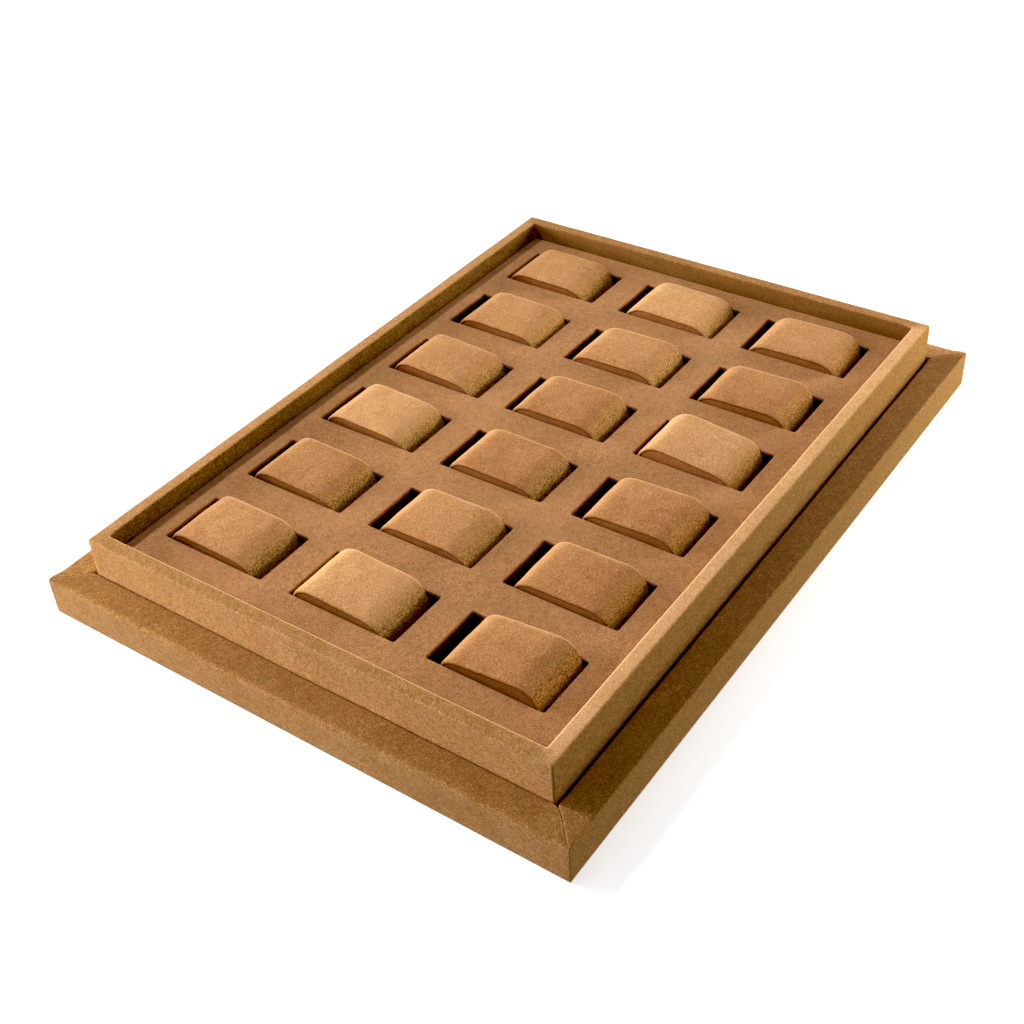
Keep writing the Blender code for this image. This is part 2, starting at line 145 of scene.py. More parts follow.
class TrayColours(bpy.types.PropertyGroup):
    """Colours of the fabrics and boards."""

    # Painted highlight on folds and edges, which the lightest clumps of the nap reach too
    highlight_and_bright_nap: tint("Nap, open", "Suede whose nap stands open on a fold", "#F2CF98")
    # The tone that runs between the light, redder and dark nap colours carries painted light and shade as
    # well as the nap's own tone
    nap_light: tint("Nap, brushed up", "Suede with its nap towards the eye", "#E0B37C")
    nap_red: tint("Nap, redder", "Suede that took more of the dye", "#D3976A")
    nap_dark: tint("Nap, brushed down", "Suede with its nap away from the eye", "#906538")
    pillow_dark: tint("Pillow nap, brushed down", "Pillow suede with its nap away from the eye", "#966039")
    # Painted shade on faces turned towards -Y, away from the light: darker, more golden, with gold and olive
    # flecks
    shaded_side_gold: tint("Pile, lit tips", "Tips of the pile where it is seen end on", "#E9B76E")
    shaded_side_olive: tint("Pile, depth", "Depth of the pile where it is seen end on", "#845C2C")
    band_shaded_side_gold: tint("Band pile, lit tips", "Tips of the band's shorter pile, seen end on", "#C4934F")
    band_shaded_side_olive: tint("Band pile, depth", "Depth of the band's shorter pile, seen end on", "#8A6029")
    # Painted shade: the darkest tone, down in the pockets, at pillow feet and rims and on shaded inner walls
    painted_shade_deep: tint("Pile, pressed", "Pile that lies pressed down inside a pocket", "#372817")
    deck_light: tint("Deck, light", "Light fibres of the deck's shorter nap", "#CC9C6B")
    deck_red: tint("Deck, redder", "Deck fibres that took more of the dye", "#C48C62")
    deck_dark: tint("Deck, dark", "Dark fibres of the deck's shorter nap", "#8A5E3E")
    lining_light: tint("Lining, light", "Light fibres of the flocked lining", "#6A4A30")
    lining_dark: tint("Lining, dark", "Dark fibres of the flocked lining", "#3E2818")
    board_light: tint("Fibreboard, light", "Light fibres of the raw board", "#A98A66")
    board_dark: tint("Fibreboard, dark", "Dark fibres of the raw board", "#84663F")
    hard_light: tint("Hardboard, light", "Light fibres of the pressed board", "#82603C")
    hard_dark: tint("Hardboard, dark", "Dark fibres of the pressed board", "#573A20")
    foam_light: tint("Foam, skin", "Cell walls of the block foam", "#4A3C2E")
    foam_dark: tint("Foam, cells", "Open cells of the block foam", "#1E1712")


def sizes():
    """The scene's size settings."""
    return bpy.context.scene.tray_sizes


def colours():
    """The scene's colour settings."""
    return bpy.context.scene.tray_colours


# Materials

# Heading towards +X and +Y: faces and folds turned towards it get a painted highlight
highlight_heading = (0.8, 0.6, 0.0)
# Where each effect starts and is full: how far a face turns towards that heading, for the painted highlight,
# and towards -Y, for the painted shade, how much dye the fibres took, as hue and as flecks, and the tone at
# which the painted highlight and the darkest painted shade come in
highlight_turn_span = (0.1, 0.7)
shaded_side_span = (-0.2, -1.0)
dye_span = (0.38, 0.62)
fleck_span = (0.4, 0.6)
highlight_span = (1.0, 2.0)
painted_shade_span = (0.0, -1.2)
sheen_colour = "#EDBE86"
# Settings of a Mix node that mixes colours
of_colours = {"output": 2, "data_type": "RGBA"}


def connect(tree, node, inputs):
    """Set or link a node's inputs."""
    for place, value in inputs.items():
        socket = node.inputs[place]
        if isinstance(value, bpy.types.NodeSocket):
            tree.links.new(value, socket)
        elif socket.type == "RGBA":
            socket.default_value = (*value, 1.0)
        else:
            socket.default_value = value


def add_node(tree, kind, inputs=None, output=0, **settings):
    """Add one shader node with its settings and links, and return one of its outputs."""
    made = tree.nodes.new("ShaderNode" + kind)
    for name, value in settings.items():
        setattr(made, name, value)
    connect(tree, made, inputs or {})
    return made.outputs[output]


def between(value, span, ends=(0.0, 1.0)):
    """Inputs for a node that maps a span of values onto another."""
    return {"Value": value, "From Min": span[0], "From Max": span[1], "To Min": ends[0], "To Max": ends[1]}


def new_material(name):
    """An empty material and its nodes and shader."""
    old = bpy.data.materials.get(name)
    if old:
        bpy.data.materials.remove(old)
    material = bpy.data.materials.new(name)
    material.use_nodes = True
    tree = material.node_tree
    shader = tree.nodes["Principled BSDF"]
    connect(tree, shader, {"Metallic": 0.0, "IOR": 1.5})
    return material, tree, shader


def napped_suede(name, shades, grain, mottle, patch, gains, turns):
    """Microfibre suede, raised into a nap by sanding.

    To the eye: matt, with a soft sheen, clumps of fibre that catch the light one by one and larger patches
    where a hand has brushed the nap over. Painted light and shade lie on it too: a painted highlight on
    faces and folds turned towards +X and +Y, a deeper, more golden painted shade with olive and gold
    flecks on faces turned towards -Y, away from the light, and the painted highlights and painted shade
    that the points' tone carries. shades are its brightest, light, redder, dark, gold, olive and deepest
    colours: the brightest is the one that painted highlights run to, gold and olive are the painted shade's
    flecks and the deepest is the darkest painted shade. gains say how strongly clumps, mottles and patches
    show, and turns how strongly the painted highlight on faces turned towards +X and +Y and the painted
    shade on faces turned towards -Y do.
    """
    bright, light, red, dark, gold, olive, deep = shades
    highlight_gain, shaded_side_gain = turns
    material, tree, shader = new_material(name)
    spot = add_node(tree, "TexCoord", output="Object")
    facing = spot.node.outputs["Normal"]
    # Size of the blotches, detail and distortion of each noise
    kinds = (
        (grain, 2.0, 0.0),
        (grain / 3, 1.0, 0.0),
        (mottle, 2.0, 0.0),
        (patch, 1.0, 0.8),
        (1.6 * grain, 2.0, 0.0),
    )
    waves = []
    for size, detail, distortion in kinds:
        look = {"Scale": 1 / size, "Detail": detail, "Roughness": 0.65, "Distortion": distortion}
        waves.append(add_node(tree, "TexNoise", {"Vector": spot, **look}))
    clumps, fibres, mottles, patches, dye = waves
    # The points' tone: the nap's own tone, with painted highlights and painted shade where they are given
    tone = add_node(tree, "Attribute", output="Fac", attribute_name="nap")
    for wave, gain in zip((clumps, mottles, patches), gains):
        swing = add_node(tree, "Math", {0: wave, 1: gain, 2: -0.5 * gain}, operation="MULTIPLY_ADD")
        tone = add_node(tree, "Math", {0: tone, 1: swing})
    # Painted highlight on faces and folds turned towards the highlight heading
    along = add_node(tree, "VectorMath", {0: facing, 1: highlight_heading}, "Value", operation="DOT_PRODUCT")
    turned_highlight = add_node(tree, "MapRange", between(along, highlight_turn_span, (0.0, highlight_gain)))
    tone = add_node(tree, "Math", {0: tone, 1: turned_highlight})
    hue = add_node(tree, "MapRange", between(dye, dye_span))
    fresh = add_node(tree, "Mix", {0: hue, 6: light, 7: red}, **of_colours)
    even = add_node(tree, "Mix", {0: tone, 6: dark, 7: fresh}, **of_colours)
    flecks = add_node(tree, "MapRange", between(dye, fleck_span))
    pile = add_node(tree, "Mix", {0: flecks, 6: olive, 7: gold}, **of_colours)
    # Painted shade on faces turned towards -Y: deeper and more golden, with olive and gold flecks
    across = add_node(tree, "SeparateXYZ", {0: facing}, "Y")
    turn = between(across, shaded_side_span, (0.0, shaded_side_gain))
    shaded_side = add_node(tree, "MapRange", turn, interpolation_type="SMOOTHSTEP")
    turned = add_node(tree, "Mix", {0: shaded_side, 6: even, 7: pile}, **of_colours)
    # Painted highlight where the tone runs high
    stands = add_node(tree, "MapRange", between(tone, highlight_span))
    lifted = add_node(tree, "Mix", {0: stands, 6: turned, 7: bright}, **of_colours)
    # Painted shade where the tone runs low: pockets, pillow feet, rims and shaded walls
    pressed = add_node(tree, "MapRange", between(tone, painted_shade_span))
    colour = add_node(tree, "Mix", {0: pressed, 6: lifted, 7: deep}, **of_colours)
    rough = add_node(tree, "MapRange", between(clumps, (0.3, 0.7), (0.86, 1.0)))
    height = add_node(tree, "Math", {0: fibres, 1: 0.5, 2: clumps}, operation="MULTIPLY_ADD")
    bump = add_node(tree, "Bump", {"Height": height, "Strength": 0.9, "Distance": 0.5 * grain})
    connect(tree, shader, {"Base Color": colour, "Roughness": rough, "Normal": bump})
    connect(tree, shader, {"Specular IOR Level": 0.08, "Sheen Weight": 0.45, "Sheen Roughness": 0.4})
    connect(tree, shader, {"Sheen Tint": linear_colour(sheen_colour)})
    return material


def grained_board(name, light, dark, grain, stretch, roughness, depth):
    """Wood fibre pressed into board, raw or with one smooth face.

    To the eye: matt brown, with short fibres lying every way in the plane of the board and darker flecks.
    roughness spans its smoothest and its roughest fibres.
    """
    material, tree, shader = new_material(name)
    place = add_node(tree, "TexCoord", output="Object")
    laid = add_node(tree, "Mapping", {"Vector": place, "Scale": (1.0, 1.0 / stretch, 1.0)})
    weave = {"Vector": laid, "Scale": 1 / grain, "Detail": 5.0, "Distortion": 1.5}
    fibre = add_node(tree, "TexNoise", weave)
    fleck = add_node(tree, "TexVoronoi", {"Vector": laid, "Scale": 0.4 / grain})
    tone = add_node(tree, "MapRange", between(fibre, (0.35, 0.65)))
    colour = add_node(tree, "Mix", {0: tone, 6: dark, 7: light}, **of_colours)
    spots = add_node(tree, "MapRange", between(fleck, (0.05, 0.2), (0.5, 0.0)))
    flecked = add_node(tree, "Mix", {0: spots, 6: colour, 7: dark}, **of_colours)
    rough = add_node(tree, "MapRange", between(fibre, (0.0, 1.0), roughness))
    bump = add_node(tree, "Bump", {"Height": fibre, "Strength": 0.4, "Distance": depth})
    connect(tree, shader, {"Base Color": flecked, "Roughness": rough, "Normal": bump})
    return material


def cut_foam(name, light, dark, cell):
    """Polyurethane foam, cut with a hot wire.

    To the eye: dull and dark, pitted all over by its open cells.
    """
    material, tree, shader = new_material(name)
    place = add_node(tree, "TexCoord", output="Object")
    cells = add_node(tree, "TexVoronoi", {"Vector": place, "Scale": 1 / cell})
    cloud = add_node(tree, "TexNoise", {"Vector": place, "Scale": 0.1 / cell})
    wall = add_node(tree, "Math", {0: cells, 1: 0.6, 2: cloud}, operation="MULTIPLY_ADD", use_clamp=True)
    colour = add_node(tree, "Mix", {0: wall, 6: dark, 7: light}, **of_colours)
    rough = add_node(tree, "MapRange", between(cells, (0.0, 1.0), (0.85, 1.0)))
    bump = add_node(tree, "Bump", {"Height": cells, "Strength": 0.8, "Distance": cell})
    connect(tree, shader, {"Base Color": colour, "Roughness": rough, "Normal": bump})
    return material


def ready_made(name):
    """A material that another step has made already, or nothing."""
    return bpy.data.materials.get(name)


def tan_suede():
    """Tan suede of the strips and the band, with clumps of about 0.6 mm, drawn coarse enough to show."""
    c = colours()
    shades = (c.highlight_and_bright_nap, c.nap_light, c.nap_red, c.nap_dark, c.band_shaded_side_gold, c.band_shaded_side_olive, c.painted_shade_deep)
    scale = {"grain": 0.6 * mm, "mottle": 2.4 * mm, "patch": 24 * mm}
    name = "tan_suede"
    return ready_made(name) or napped_suede(name, shades, gains=(2.4, 0.8, 0.35), turns=(0.5, 0.85), **scale)


def pillow_suede():
    """Longer-napped tan suede of the pillows, with clumps of about 0.55 mm, drawn coarse enough to show."""
    c = colours()
    shades = (c.highlight_and_bright_nap, c.nap_light, c.nap_red, c.pillow_dark, c.shaded_side_gold, c.shaded_side_olive, c.painted_shade_deep)
    scale = {"grain": 0.55 * mm, "mottle": 2.6 * mm, "patch": 15 * mm}
    return napped_suede("pillow_suede", shades, gains=(2.6, 0.4, 0.45), turns=(1.25, 0.85), **scale)


def deck_suede():
    """Short-napped, redder suede of the deck, with clumps of about 0.6 mm, drawn coarse enough to show."""
    c = colours()
    shades = (c.deck_light, c.deck_light, c.deck_red, c.deck_dark, c.shaded_side_gold, c.shaded_side_olive, c.painted_shade_deep)
    scale = {"grain": 0.6 * mm, "mottle": 2.4 * mm, "patch": 30 * mm}
    return napped_suede("deck_suede", shades, gains=(2.9, 1.1, 0.4), turns=(0.8, 0.3), **scale)


def flocked_lining():
    """Thin lining with short flock glued upright on it, about 0.6 mm a tuft as drawn."""
    c = colours()
    light, dark = c.lining_light, c.lining_dark
    shades = (light, light, light, dark, light, dark, c.painted_shade_deep)
    scale = {"grain": 0.6 * mm, "mottle": 5 * mm, "patch": 40 * mm}
    name = "flocked_lining"
    return ready_made(name) or napped_suede(name, shades, gains=(1.2, 0.5, 0.4), turns=(0.0, 0.0), **scale)


# Meshes

# Tone of a nap that lies evenly, and how far apart each seed shifts the waves
even_nap = 0.5
seed_shifts = (7.31, 3.77, 5.13)


def lattice_faces(row_count, column_count, close_columns=False, flip=False, first=0):
    """Quads between neighbouring rows and columns of a lattice of points."""
    faces = []
    for row in range(row_count - 1):
        near = first + row * column_count
        far = near + column_count
        for column in range(column_count if close_columns else column_count - 1):
            following = (column + 1) % column_count
            quad = (near + column, near + following, far + following, far + column)
            faces.append(quad[::-1] if flip else quad)
    return faces


def add_piece(name, points, faces, material, nap=even_nap):
    """Make a smooth piece from points and faces, with its tone on its points: the nap's own tone, with
    painted light and shade where it is given.
    """
    mesh = bpy.data.meshes.new(name)
    mesh.from_pydata([tuple(p) for p in points], [], faces)
    mesh.validate()
    tones = np.broadcast_to(np.asarray(nap, np.float32), (len(mesh.vertices),))
    mesh.attributes.new("nap", "FLOAT", "POINT").data.foreach_set("value", tones.copy())
    mesh.shade_smooth()
    mesh.materials.append(material)
    piece = bpy.data.objects.new(name, mesh)
    bpy.context.scene.collection.objects.link(piece)
    return piece


@contextmanager
def opened_mesh(piece):
    """A piece's mesh, open for editing and put back afterwards."""
    bm = bmesh.new()
    bm.from_mesh(piece.data)
    yield bm
    bm.to_mesh(piece.data)
    bm.free()


def merge_points(piece, distance):
    """Join points of a piece that fall together."""
    with opened_mesh(piece) as bm:
        bmesh.ops.remove_doubles(bm, verts=bm.verts, dist=distance)


def thicken(piece, thickness):
    """Give an open sheet its thickness, behind the face that shows."""
    solidify = piece.modifiers.new("thickness", "SOLIDIFY")
    solidify.thickness = thickness
    solidify.offset = -1.0
    solidify.use_even_offset = True


def dress(piece, body, slot, *nodes):
    """Hang a finished piece on its body, in place of the nodes that it stands for."""
    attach(piece, body)
    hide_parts(*nodes)


def smooth_step(value, low, high):
    """0 below low, 1 above high, and a smooth climb between."""
    share = min(max((value - low) / (high - low), 0.0), 1.0)
    return share * share * (3.0 - 2.0 * share)


def bell(value, width, middle=0.0):
    """1 at the middle, falling smoothly to nothing on both sides."""
    return math.exp(-(((value - middle) / width) ** 2))


def ripple(point, wave, seed):
    """Smooth noise from -1 to 1 at a point, on waves of a given length."""
    return noise.noise(Vector(point) / wave + Vector([seed * shift for shift in seed_shifts]))


def rounded_section(points, radii):
    """Path through (u, z) corners, each rounded to its radius, with points no further apart than a step.

    Returns the points and the outward normal at each, which lies to the left of the way the path runs.
    """
    corners = [Vector(p) for p in points]
    path = [corners[0]]
    for before, corner, after, radius in zip(corners, corners[1:], corners[2:], radii):
        back = (before - corner).normalized() * radius
        ahead = (after - corner).normalized() * radius
        for step in range(fold_steps + 1):
            angle = math.pi / 2 * step / fold_steps
            path.append(corner + back + ahead - ahead * math.cos(angle) - back * math.sin(angle))
    path.append(corners[-1])
    fine = [path[0]]
    for index, (start, end) in enumerate(zip(path, path[1:])):
        run, within = divmod(index, fold_steps + 1)
        straight = within == 0
        cuts = math.ceil((corners[run + 1] - corners[run]).length / fabric_step) if straight else 1
        fine += [start.lerp(end, (cut + 1) / cuts) for cut in range(cuts)]
    normals = []
    for index in range(len(fine)):
        heading = fine[min(index + 1, len(fine) - 1)] - fine[max(index - 1, 0)]
        normals.append(Vector((-heading.y, heading.x)).normalized())
    return fine, normals


def rounded_loop(half_x, half_y, radius, cuts_x, cuts_y, cuts_corner):
    """Rounded rectangle, counter-clockwise from its front left, with set numbers of cuts."""
    straight_x = half_x - radius
    straight_y = half_y - radius
    centres = ((1, -1), (1, 1), (-1, 1), (-1, -1))
    starts = ((-straight_x, -half_y), (half_x, -straight_y), (straight_x, half_y), (-half_x, straight_y))
    ends = ((straight_x, -half_y), (half_x, straight_y), (-straight_x, half_y), (-half_x, -straight_y))
    loop = []
    for side, (start, end, centre) in enumerate(zip(starts, ends, centres)):
        cuts = cuts_y if side % 2 else cuts_x
        loop += [Vector(start).lerp(Vector(end), cut / cuts) for cut in range(cuts)]
        for cut in range(cuts_corner):
            angle = (side - 1 + cut / cuts_corner) * math.pi / 2
            x = centre[0] * straight_x + radius * math.cos(angle)
            y = centre[1] * straight_y + radius * math.sin(angle)
            loop.append(Vector((x, y)))
    return loop


def square_loop(low, high, cuts_x, cuts_y, cuts_corner):
    """Rectangle with evenly spread points that pair up with those of a rounded loop.

    The middle of each of the rounded loop's corners falls on the rectangle's corner.
    """
    corners = [Vector(c) for c in ((low.x, low.y), (high.x, low.y), (high.x, high.y), (low.x, high.y))]
    shift = cuts_corner // 2
    loop = []
    for side, (start, end) in enumerate(zip(corners, corners[1:] + corners[:1])):
        cuts = (cuts_y if side % 2 else cuts_x) + cuts_corner
        loop += [start.lerp(end, cut / cuts) for cut in range(cuts)]
    return loop[shift:] + loop[:shift]


# Base

# How light each strip is painted on its outer face and on top, as shares, in the order of sides: partly the
# nap's own tone and partly painted light and shade, darkest on the front's top, in the tray's shadow
strip_tones = ((0.4, -0.16), (0.4, 0.35), (0.4, 0.1), (0.28, -0.08))
# How wide each strip's outer edge is rounded between its seams, as shares of the full radius
edge_shares = (0.4, 1.0, 1.0, 1.0)
# Where a strip's edge, going away from a seam, turns from tight to rounded
seam_ease = (1.5 * mm, 9 * mm)
# How high a strip swells beside a seam, how wide and how far from it, and the painted highlight beside it
swell_height = 0.2 * mm
swell_width = 2.4 * mm
swell_place = 3.6 * mm
seam_highlight = 0.3
seam_highlight_width = 0.6 * mm
seam_highlight_place = 0.7 * mm
# How deep a seam is drawn in on an upright face and at the foot, as shares of its depth on top
upright_share = 0.25
foot_share = 0.5
# Where along the mitre a seam swings furthest: below 1 that is nearer the outside
swing_power = 0.8
# How the suede is cut along the mitre: its gap, the notch at its inner end and the share where that starts
seam_gap = 0.05 * mm
notch_depth = 0.5 * mm
notch_share = 0.9
# How far above the base board a strip's inner hem ends
strip_hem = 0.3 * mm
# Lengths of the long and the short waves in a strip, and how high the short ones are as a share
strip_waves = (34 * mm, 9 * mm, 0.3)


def strip_points(tight, easy, run, seed, outer, upper):
    """Points and tones of one mitred strip: section points by stations from one seam to the other.

    tight is its section at the seams, easy its section between them, each as points and normals. Both
    seams follow the same gentle curve, the suede dips into them and swells a little beside them. Its tones
    are painted: outer and upper for its outer face and top, with their painted light and shade, and a
    painted highlight beside the seams.
    """
    s = sizes()
    long_wave, short_wave, short_share = strip_waves
    half = run / 2
    points = []
    tones = []
    reach = seam_stations[-1]
    middle_cuts = math.ceil((run - 2 * reach) / fabric_step)
    for spot, normal, easy_spot, easy_normal in zip(*tight, *easy):
        share = min(max(spot.x / rail_width, 0.0), 1.0)
        swing = s.seam_swing * math.sin(2 * math.pi * share ** swing_power)
        notch = notch_depth * max(0.0, (share - notch_share) / (1 - notch_share)) ** 2 + seam_gap
        start = -half + spot.x - swing + notch
        end = half - spot.x - swing - notch
        low, high = start + reach, end - reach
        stations = [start + d for d in seam_stations[:-1]]
        stations += [low + (high - low) * cut / middle_cuts for cut in range(middle_cuts + 1)]
        stations += [end - d for d in seam_stations[-2::-1]]
        for along in stations:
            from_seam = min(along - start, end - along)
            ease = smooth_step(from_seam, *seam_ease)
            at = spot.lerp(easy_spot, ease)
            face = normal.lerp(easy_normal, ease).normalized()
            level = max(0.0, face.y)
            pull = upright_share + (1 - upright_share) * level
            dip = s.seam_depth * bell(from_seam, s.seam_width) * pull
            swell = swell_height * bell(from_seam, swell_width, swell_place) * level
            stray = s.slack * ripple((along, at.x * 2, at.y * 2), long_wave, seed)
            stray += short_share * s.slack * ripple((along, at.x, at.y), short_wave, seed + 3)
            out = swell - dip + stray if at.y > s.rail_foot else -foot_share * dip
            points.append((along, at.x + face.x * out, max(at.y + face.y * out, 0.0)))
            # Painted tones: the outer face's and the top's, with their painted light and shade, and a
            # painted highlight beside the seam
            beside_seam = seam_highlight * bell(from_seam, seam_highlight_width, seam_highlight_place) * level
            tones.append(outer + (upper - outer) * level ** 2 + beside_seam)
    return points, tones, len(stations)


def build_base_strips():
    """Four mitred suede strips round the base rails."""
    s = sizes()
    path = (
        (s.turn_in, 0.0),
        (0.0, 0.0),
        (0.0, base_height),
        (rail_width, base_height),
        (rail_width, floor_board_high.z + strip_hem),
    )
    tight = rounded_section(path, (s.rail_foot, s.rail_corner, s.rail_corner))
    spots = (
        (base_length, (0.0, -base_width / 2), 0.0),
        (base_width, (base_length / 2, 0.0), math.pi / 2),
        (base_length, (0.0, base_width / 2), math.pi),
        (base_width, (-base_length / 2, 0.0), -math.pi / 2),
    )
    parts = zip(sides, spots, strip_tones, edge_shares)
    for seed, (side, (run, (x, y), turn), (outer, upper), share) in enumerate(parts):
        easy = rounded_section(path, (s.rail_foot, s.rail_edge * share, s.rail_inner_edge))
        points, tones, count = strip_points(tight, easy, run, seed + 1, outer, upper)
        place = Matrix.Translation((x, y, 0.0)) @ Matrix.Rotation(turn, 4, "Z")
        points = [place @ Vector(p) for p in points]
        faces = lattice_faces(len(tight[0]), count)
        piece = add_piece("base_strip_" + side, points, faces, tan_suede(), tones)
        thicken(piece, s.suede)
        dress(piece, "base", "suede", "base_wrap_" + side)


# Linings

# Each lining: its name, the node that it stands for, its body and the seed of its waves
linings = (
    ("base_well_lining", "base_lining", "base", 41),
    ("base_under_lining", "base_underside_sheet", "base", 42),
    ("tray_floor_lining", "tray_lining", "tray", 43),
)
# How far a lining's cut edge lies inside its node, and the length of the waves in that edge
lining_margin = 0.3 * mm
edge_wave = 8 * mm
# Length and height of the waves in a lining, and how far its edges droop and over what width
lining_wave = 25 * mm
lining_wave_height = 0.08 * mm
lining_droop = 0.12 * mm
droop_width = 1.2 * mm
# How far a lining's face lies below its node's, and how much thinner than its node it is
lining_sink = 0.1 * mm
lining_thinning = 0.25 * mm


def lining_sheet(name, node, body, seed):
    """Thin flocked sheet, cut a little unevenly and not quite flat, glued where its node lies."""
    low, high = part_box(node)
    cuts_x = math.ceil((high.x - low.x) / (2 * fabric_step))
    cuts_y = math.ceil((high.y - low.y) / (2 * fabric_step))
    points = []
    for row in range(cuts_y + 1):
        for column in range(cuts_x + 1):
            x = low.x + (high.x - low.x) * column / cuts_x
            y = low.y + (high.y - low.y) * row / cuts_y
            edge = min(x - low.x, high.x - x, y - low.y, high.y - y)
            spot = (x, y, 0.0)
            ragged = lining_margin * (1 + ripple(spot, edge_wave, seed + 1)) if edge < on_edge else 0.0
            inwards = Vector((-x, -y)).normalized() * ragged
            lift = lining_wave_height * ripple(spot, lining_wave, seed)
            droop = lining_droop * bell(edge, droop_width)
            points.append((x + inwards.x, y + inwards.y, high.z - lining_sink + lift - droop))
    piece = add_piece(name, points, lattice_faces(cuts_y + 1, cuts_x + 1), flocked_lining())
    thicken(piece, high.z - low.z - lining_thinning)
    dress(piece, body, "lining", node)


# Tray band

# How light the band is painted on each side's outer faces, rim and inner faces, as shares: partly the nap's
# own tone and partly painted light and shade, with painted shade on the back's and the right's inner faces,
# and its painted highlight along the inner fold
band_outer_tones = {"left": 0.4, "right": 0.5, "front": 0.5, "back": 0.5}
band_upper_tones = {"left": 0.22, "right": 0.1, "front": 0.95, "back": 0.4}
band_inner_tones = {"left": 0.4, "right": -0.42, "front": 0.4, "back": -0.7}
band_fold_highlights = {"left": 0.8, "right": 0.0, "front": 0.8, "back": 0.0}
# Over how far one rim blends into the next and one face into the next
rim_blend = 9 * mm
face_blend = 0.5 * mm
# Painted highlight on its upright corners and how wide, and painted shade at the foot of the front's outer
# face and how high
corner_highlight = 0.4
corner_highlight_width = 1.2 * mm
front_foot_shade_tone = -1.1
front_foot_shade_height = 7 * mm
# Lengths of the band's long and short waves, how high the short ones are as a share, and their seeds
band_waves = (38 * mm, 8 * mm, 0.4)
band_seeds = (11, 12)


def band_tone(flat, normal, height):
    """How light the band is painted at a point of its loop, blended smoothly from side to side: its faces'
    tones with their painted light and shade, a painted highlight on the inner fold and the upright corners,
    and painted shade at the front's foot.
    """
    beyond = (tray_width / 2 - abs(flat.y)) - (tray_length / 2 - abs(flat.x))
    side_x = "right" if flat.x > 0 else "left"
    side_y = "back" if flat.y > 0 else "front"
    lean = smooth_step(beyond, -rim_blend, rim_blend)
    turn = smooth_step(beyond, -face_blend, face_blend)
    face_tones = band_inner_tones if normal.x > 0.0 else band_outer_tones
    outer = face_tones[side_y] * (1 - turn) + face_tones[side_x] * turn
    upper = band_upper_tones[side_y] * (1 - lean) + band_upper_tones[side_x] * lean
    fold_highlight = band_fold_highlights[side_y] * (1 - lean) + band_fold_highlights[side_x] * lean
    level = max(0.0, normal.y)
    at_corner = corner_highlight * bell(beyond, corner_highlight_width) * (1 - level)
    inner_fold = 4 * normal.x * normal.y if normal.x > 0 and normal.y > 0 else 0.0
    front_foot_shade_share = 0.0
    if side_y == "front" and normal.x < 0:
        front_foot_shade_share = (1 - smooth_step(height, base_height, base_height + front_foot_shade_height)) * (1 - turn)
    return outer + (upper - outer) * level ** 2 + at_corner + fold_highlight * inner_fold + front_foot_shade_tone * front_foot_shade_share


def build_band():
    """One suede band: turned in below, up outside, over the rim and down inside."""
    s = sizes()
    long_wave, short_wave, short_share = band_waves
    path = (
        (s.band_turn_in, tray_bottom),
        (0.0, tray_bottom),
        (0.0, tray_top),
        (rim_width, tray_top),
        (rim_width, deck_top - s.band_tuck),
    )
    section, normals = rounded_section(path, (s.rim_edge, s.rim_edge, s.rim_inner_edge))
    half_x = tray_length / 2
    half_y = tray_width / 2
    cuts_x = math.ceil(tray_length / fabric_step)
    cuts_y = math.ceil(tray_width / fabric_step)
    points = []
    tones = []
    for spot, normal in zip(section, normals):
        loop = rounded_loop(half_x - spot.x, half_y - spot.x, s.band_corner, cuts_x, cuts_y, corner_steps)
        for flat in loop:
            at = Vector((flat.x, flat.y, spot.y))
            stray = s.slack * ripple(at, long_wave, band_seeds[0])
            stray += short_share * s.slack * ripple(at, short_wave, band_seeds[1])
            if spot.y < tray_bottom + s.rim_edge:
                stray = 0.0
            axis = 0 if abs(flat.x) - half_x > abs(flat.y) - half_y else 1
            at[axis] -= math.copysign(1.0, flat[axis]) * normal.x * stray
            at.z += normal.y * stray
            points.append(at)
            tones.append(band_tone(flat, normal, spot.y))
    faces = lattice_faces(len(section), len(loop), True)
    piece = add_piece("tray_band", points, faces, tan_suede(), tones)
    thicken(piece, s.suede)
    dress(piece, "tray", "suede", "tray_wrap")


# Deck

# How many cuts a window has along x and y, how far apart a flap's rings lie and how near points are joined
window_cuts = (12, 20)
flap_step = 3 * mm
sheet_merge = 0.01 * mm
# Rings beside a window's lip: how far they lie from it
beside_lip = 0.6 * mm
flat_beside_lip = 2.0 * mm
# Where further rings lie between those and the cell's edge, as shares
cell_shares = (0.3, 0.65, 1.0)
# In how many steps a sheet's outer edge is turned down
edge_steps = 3
# Radius of the deck's outer edge and how far it hangs down below that
deck_edge = 0.9 * mm
deck_skirt = 0.8 * mm
# How light the deck's nap looks, the painted highlight at a lip and the painted shade down in a pocket
deck_tone = 0.54
lip_highlight = 0.3
pocket_shade = -2.1
# Depths at which the lip's painted highlight starts and is full, starts to end and has ended, and the
# pocket's painted shade starts and is full
lip_highlight_start = (-0.01 * mm, 0.05 * mm)
lip_highlight_end = (0.15 * mm, 0.4 * mm)
pocket_shade_depths = (0.25 * mm, 3.0 * mm)
# Length, height and seed of the deck's waves, the height as a share of the slack, and the depth at which
# they have ended
deck_wave = 30 * mm
deck_wave_share = 1.1
deck_seed = 21
wave_depth = 3 * mm
# The foam blocks' cut-outs: how much wider than a window, their corners and the blocks' edges
block_gap = 1.0 * mm
block_corner = 1.0 * mm
block_edge = 0.5 * mm


def pillow_tags():
    """Row and column of each pillow."""
    return [(row, column) for row in range(1, rows + 1) for column in range(1, columns + 1)]


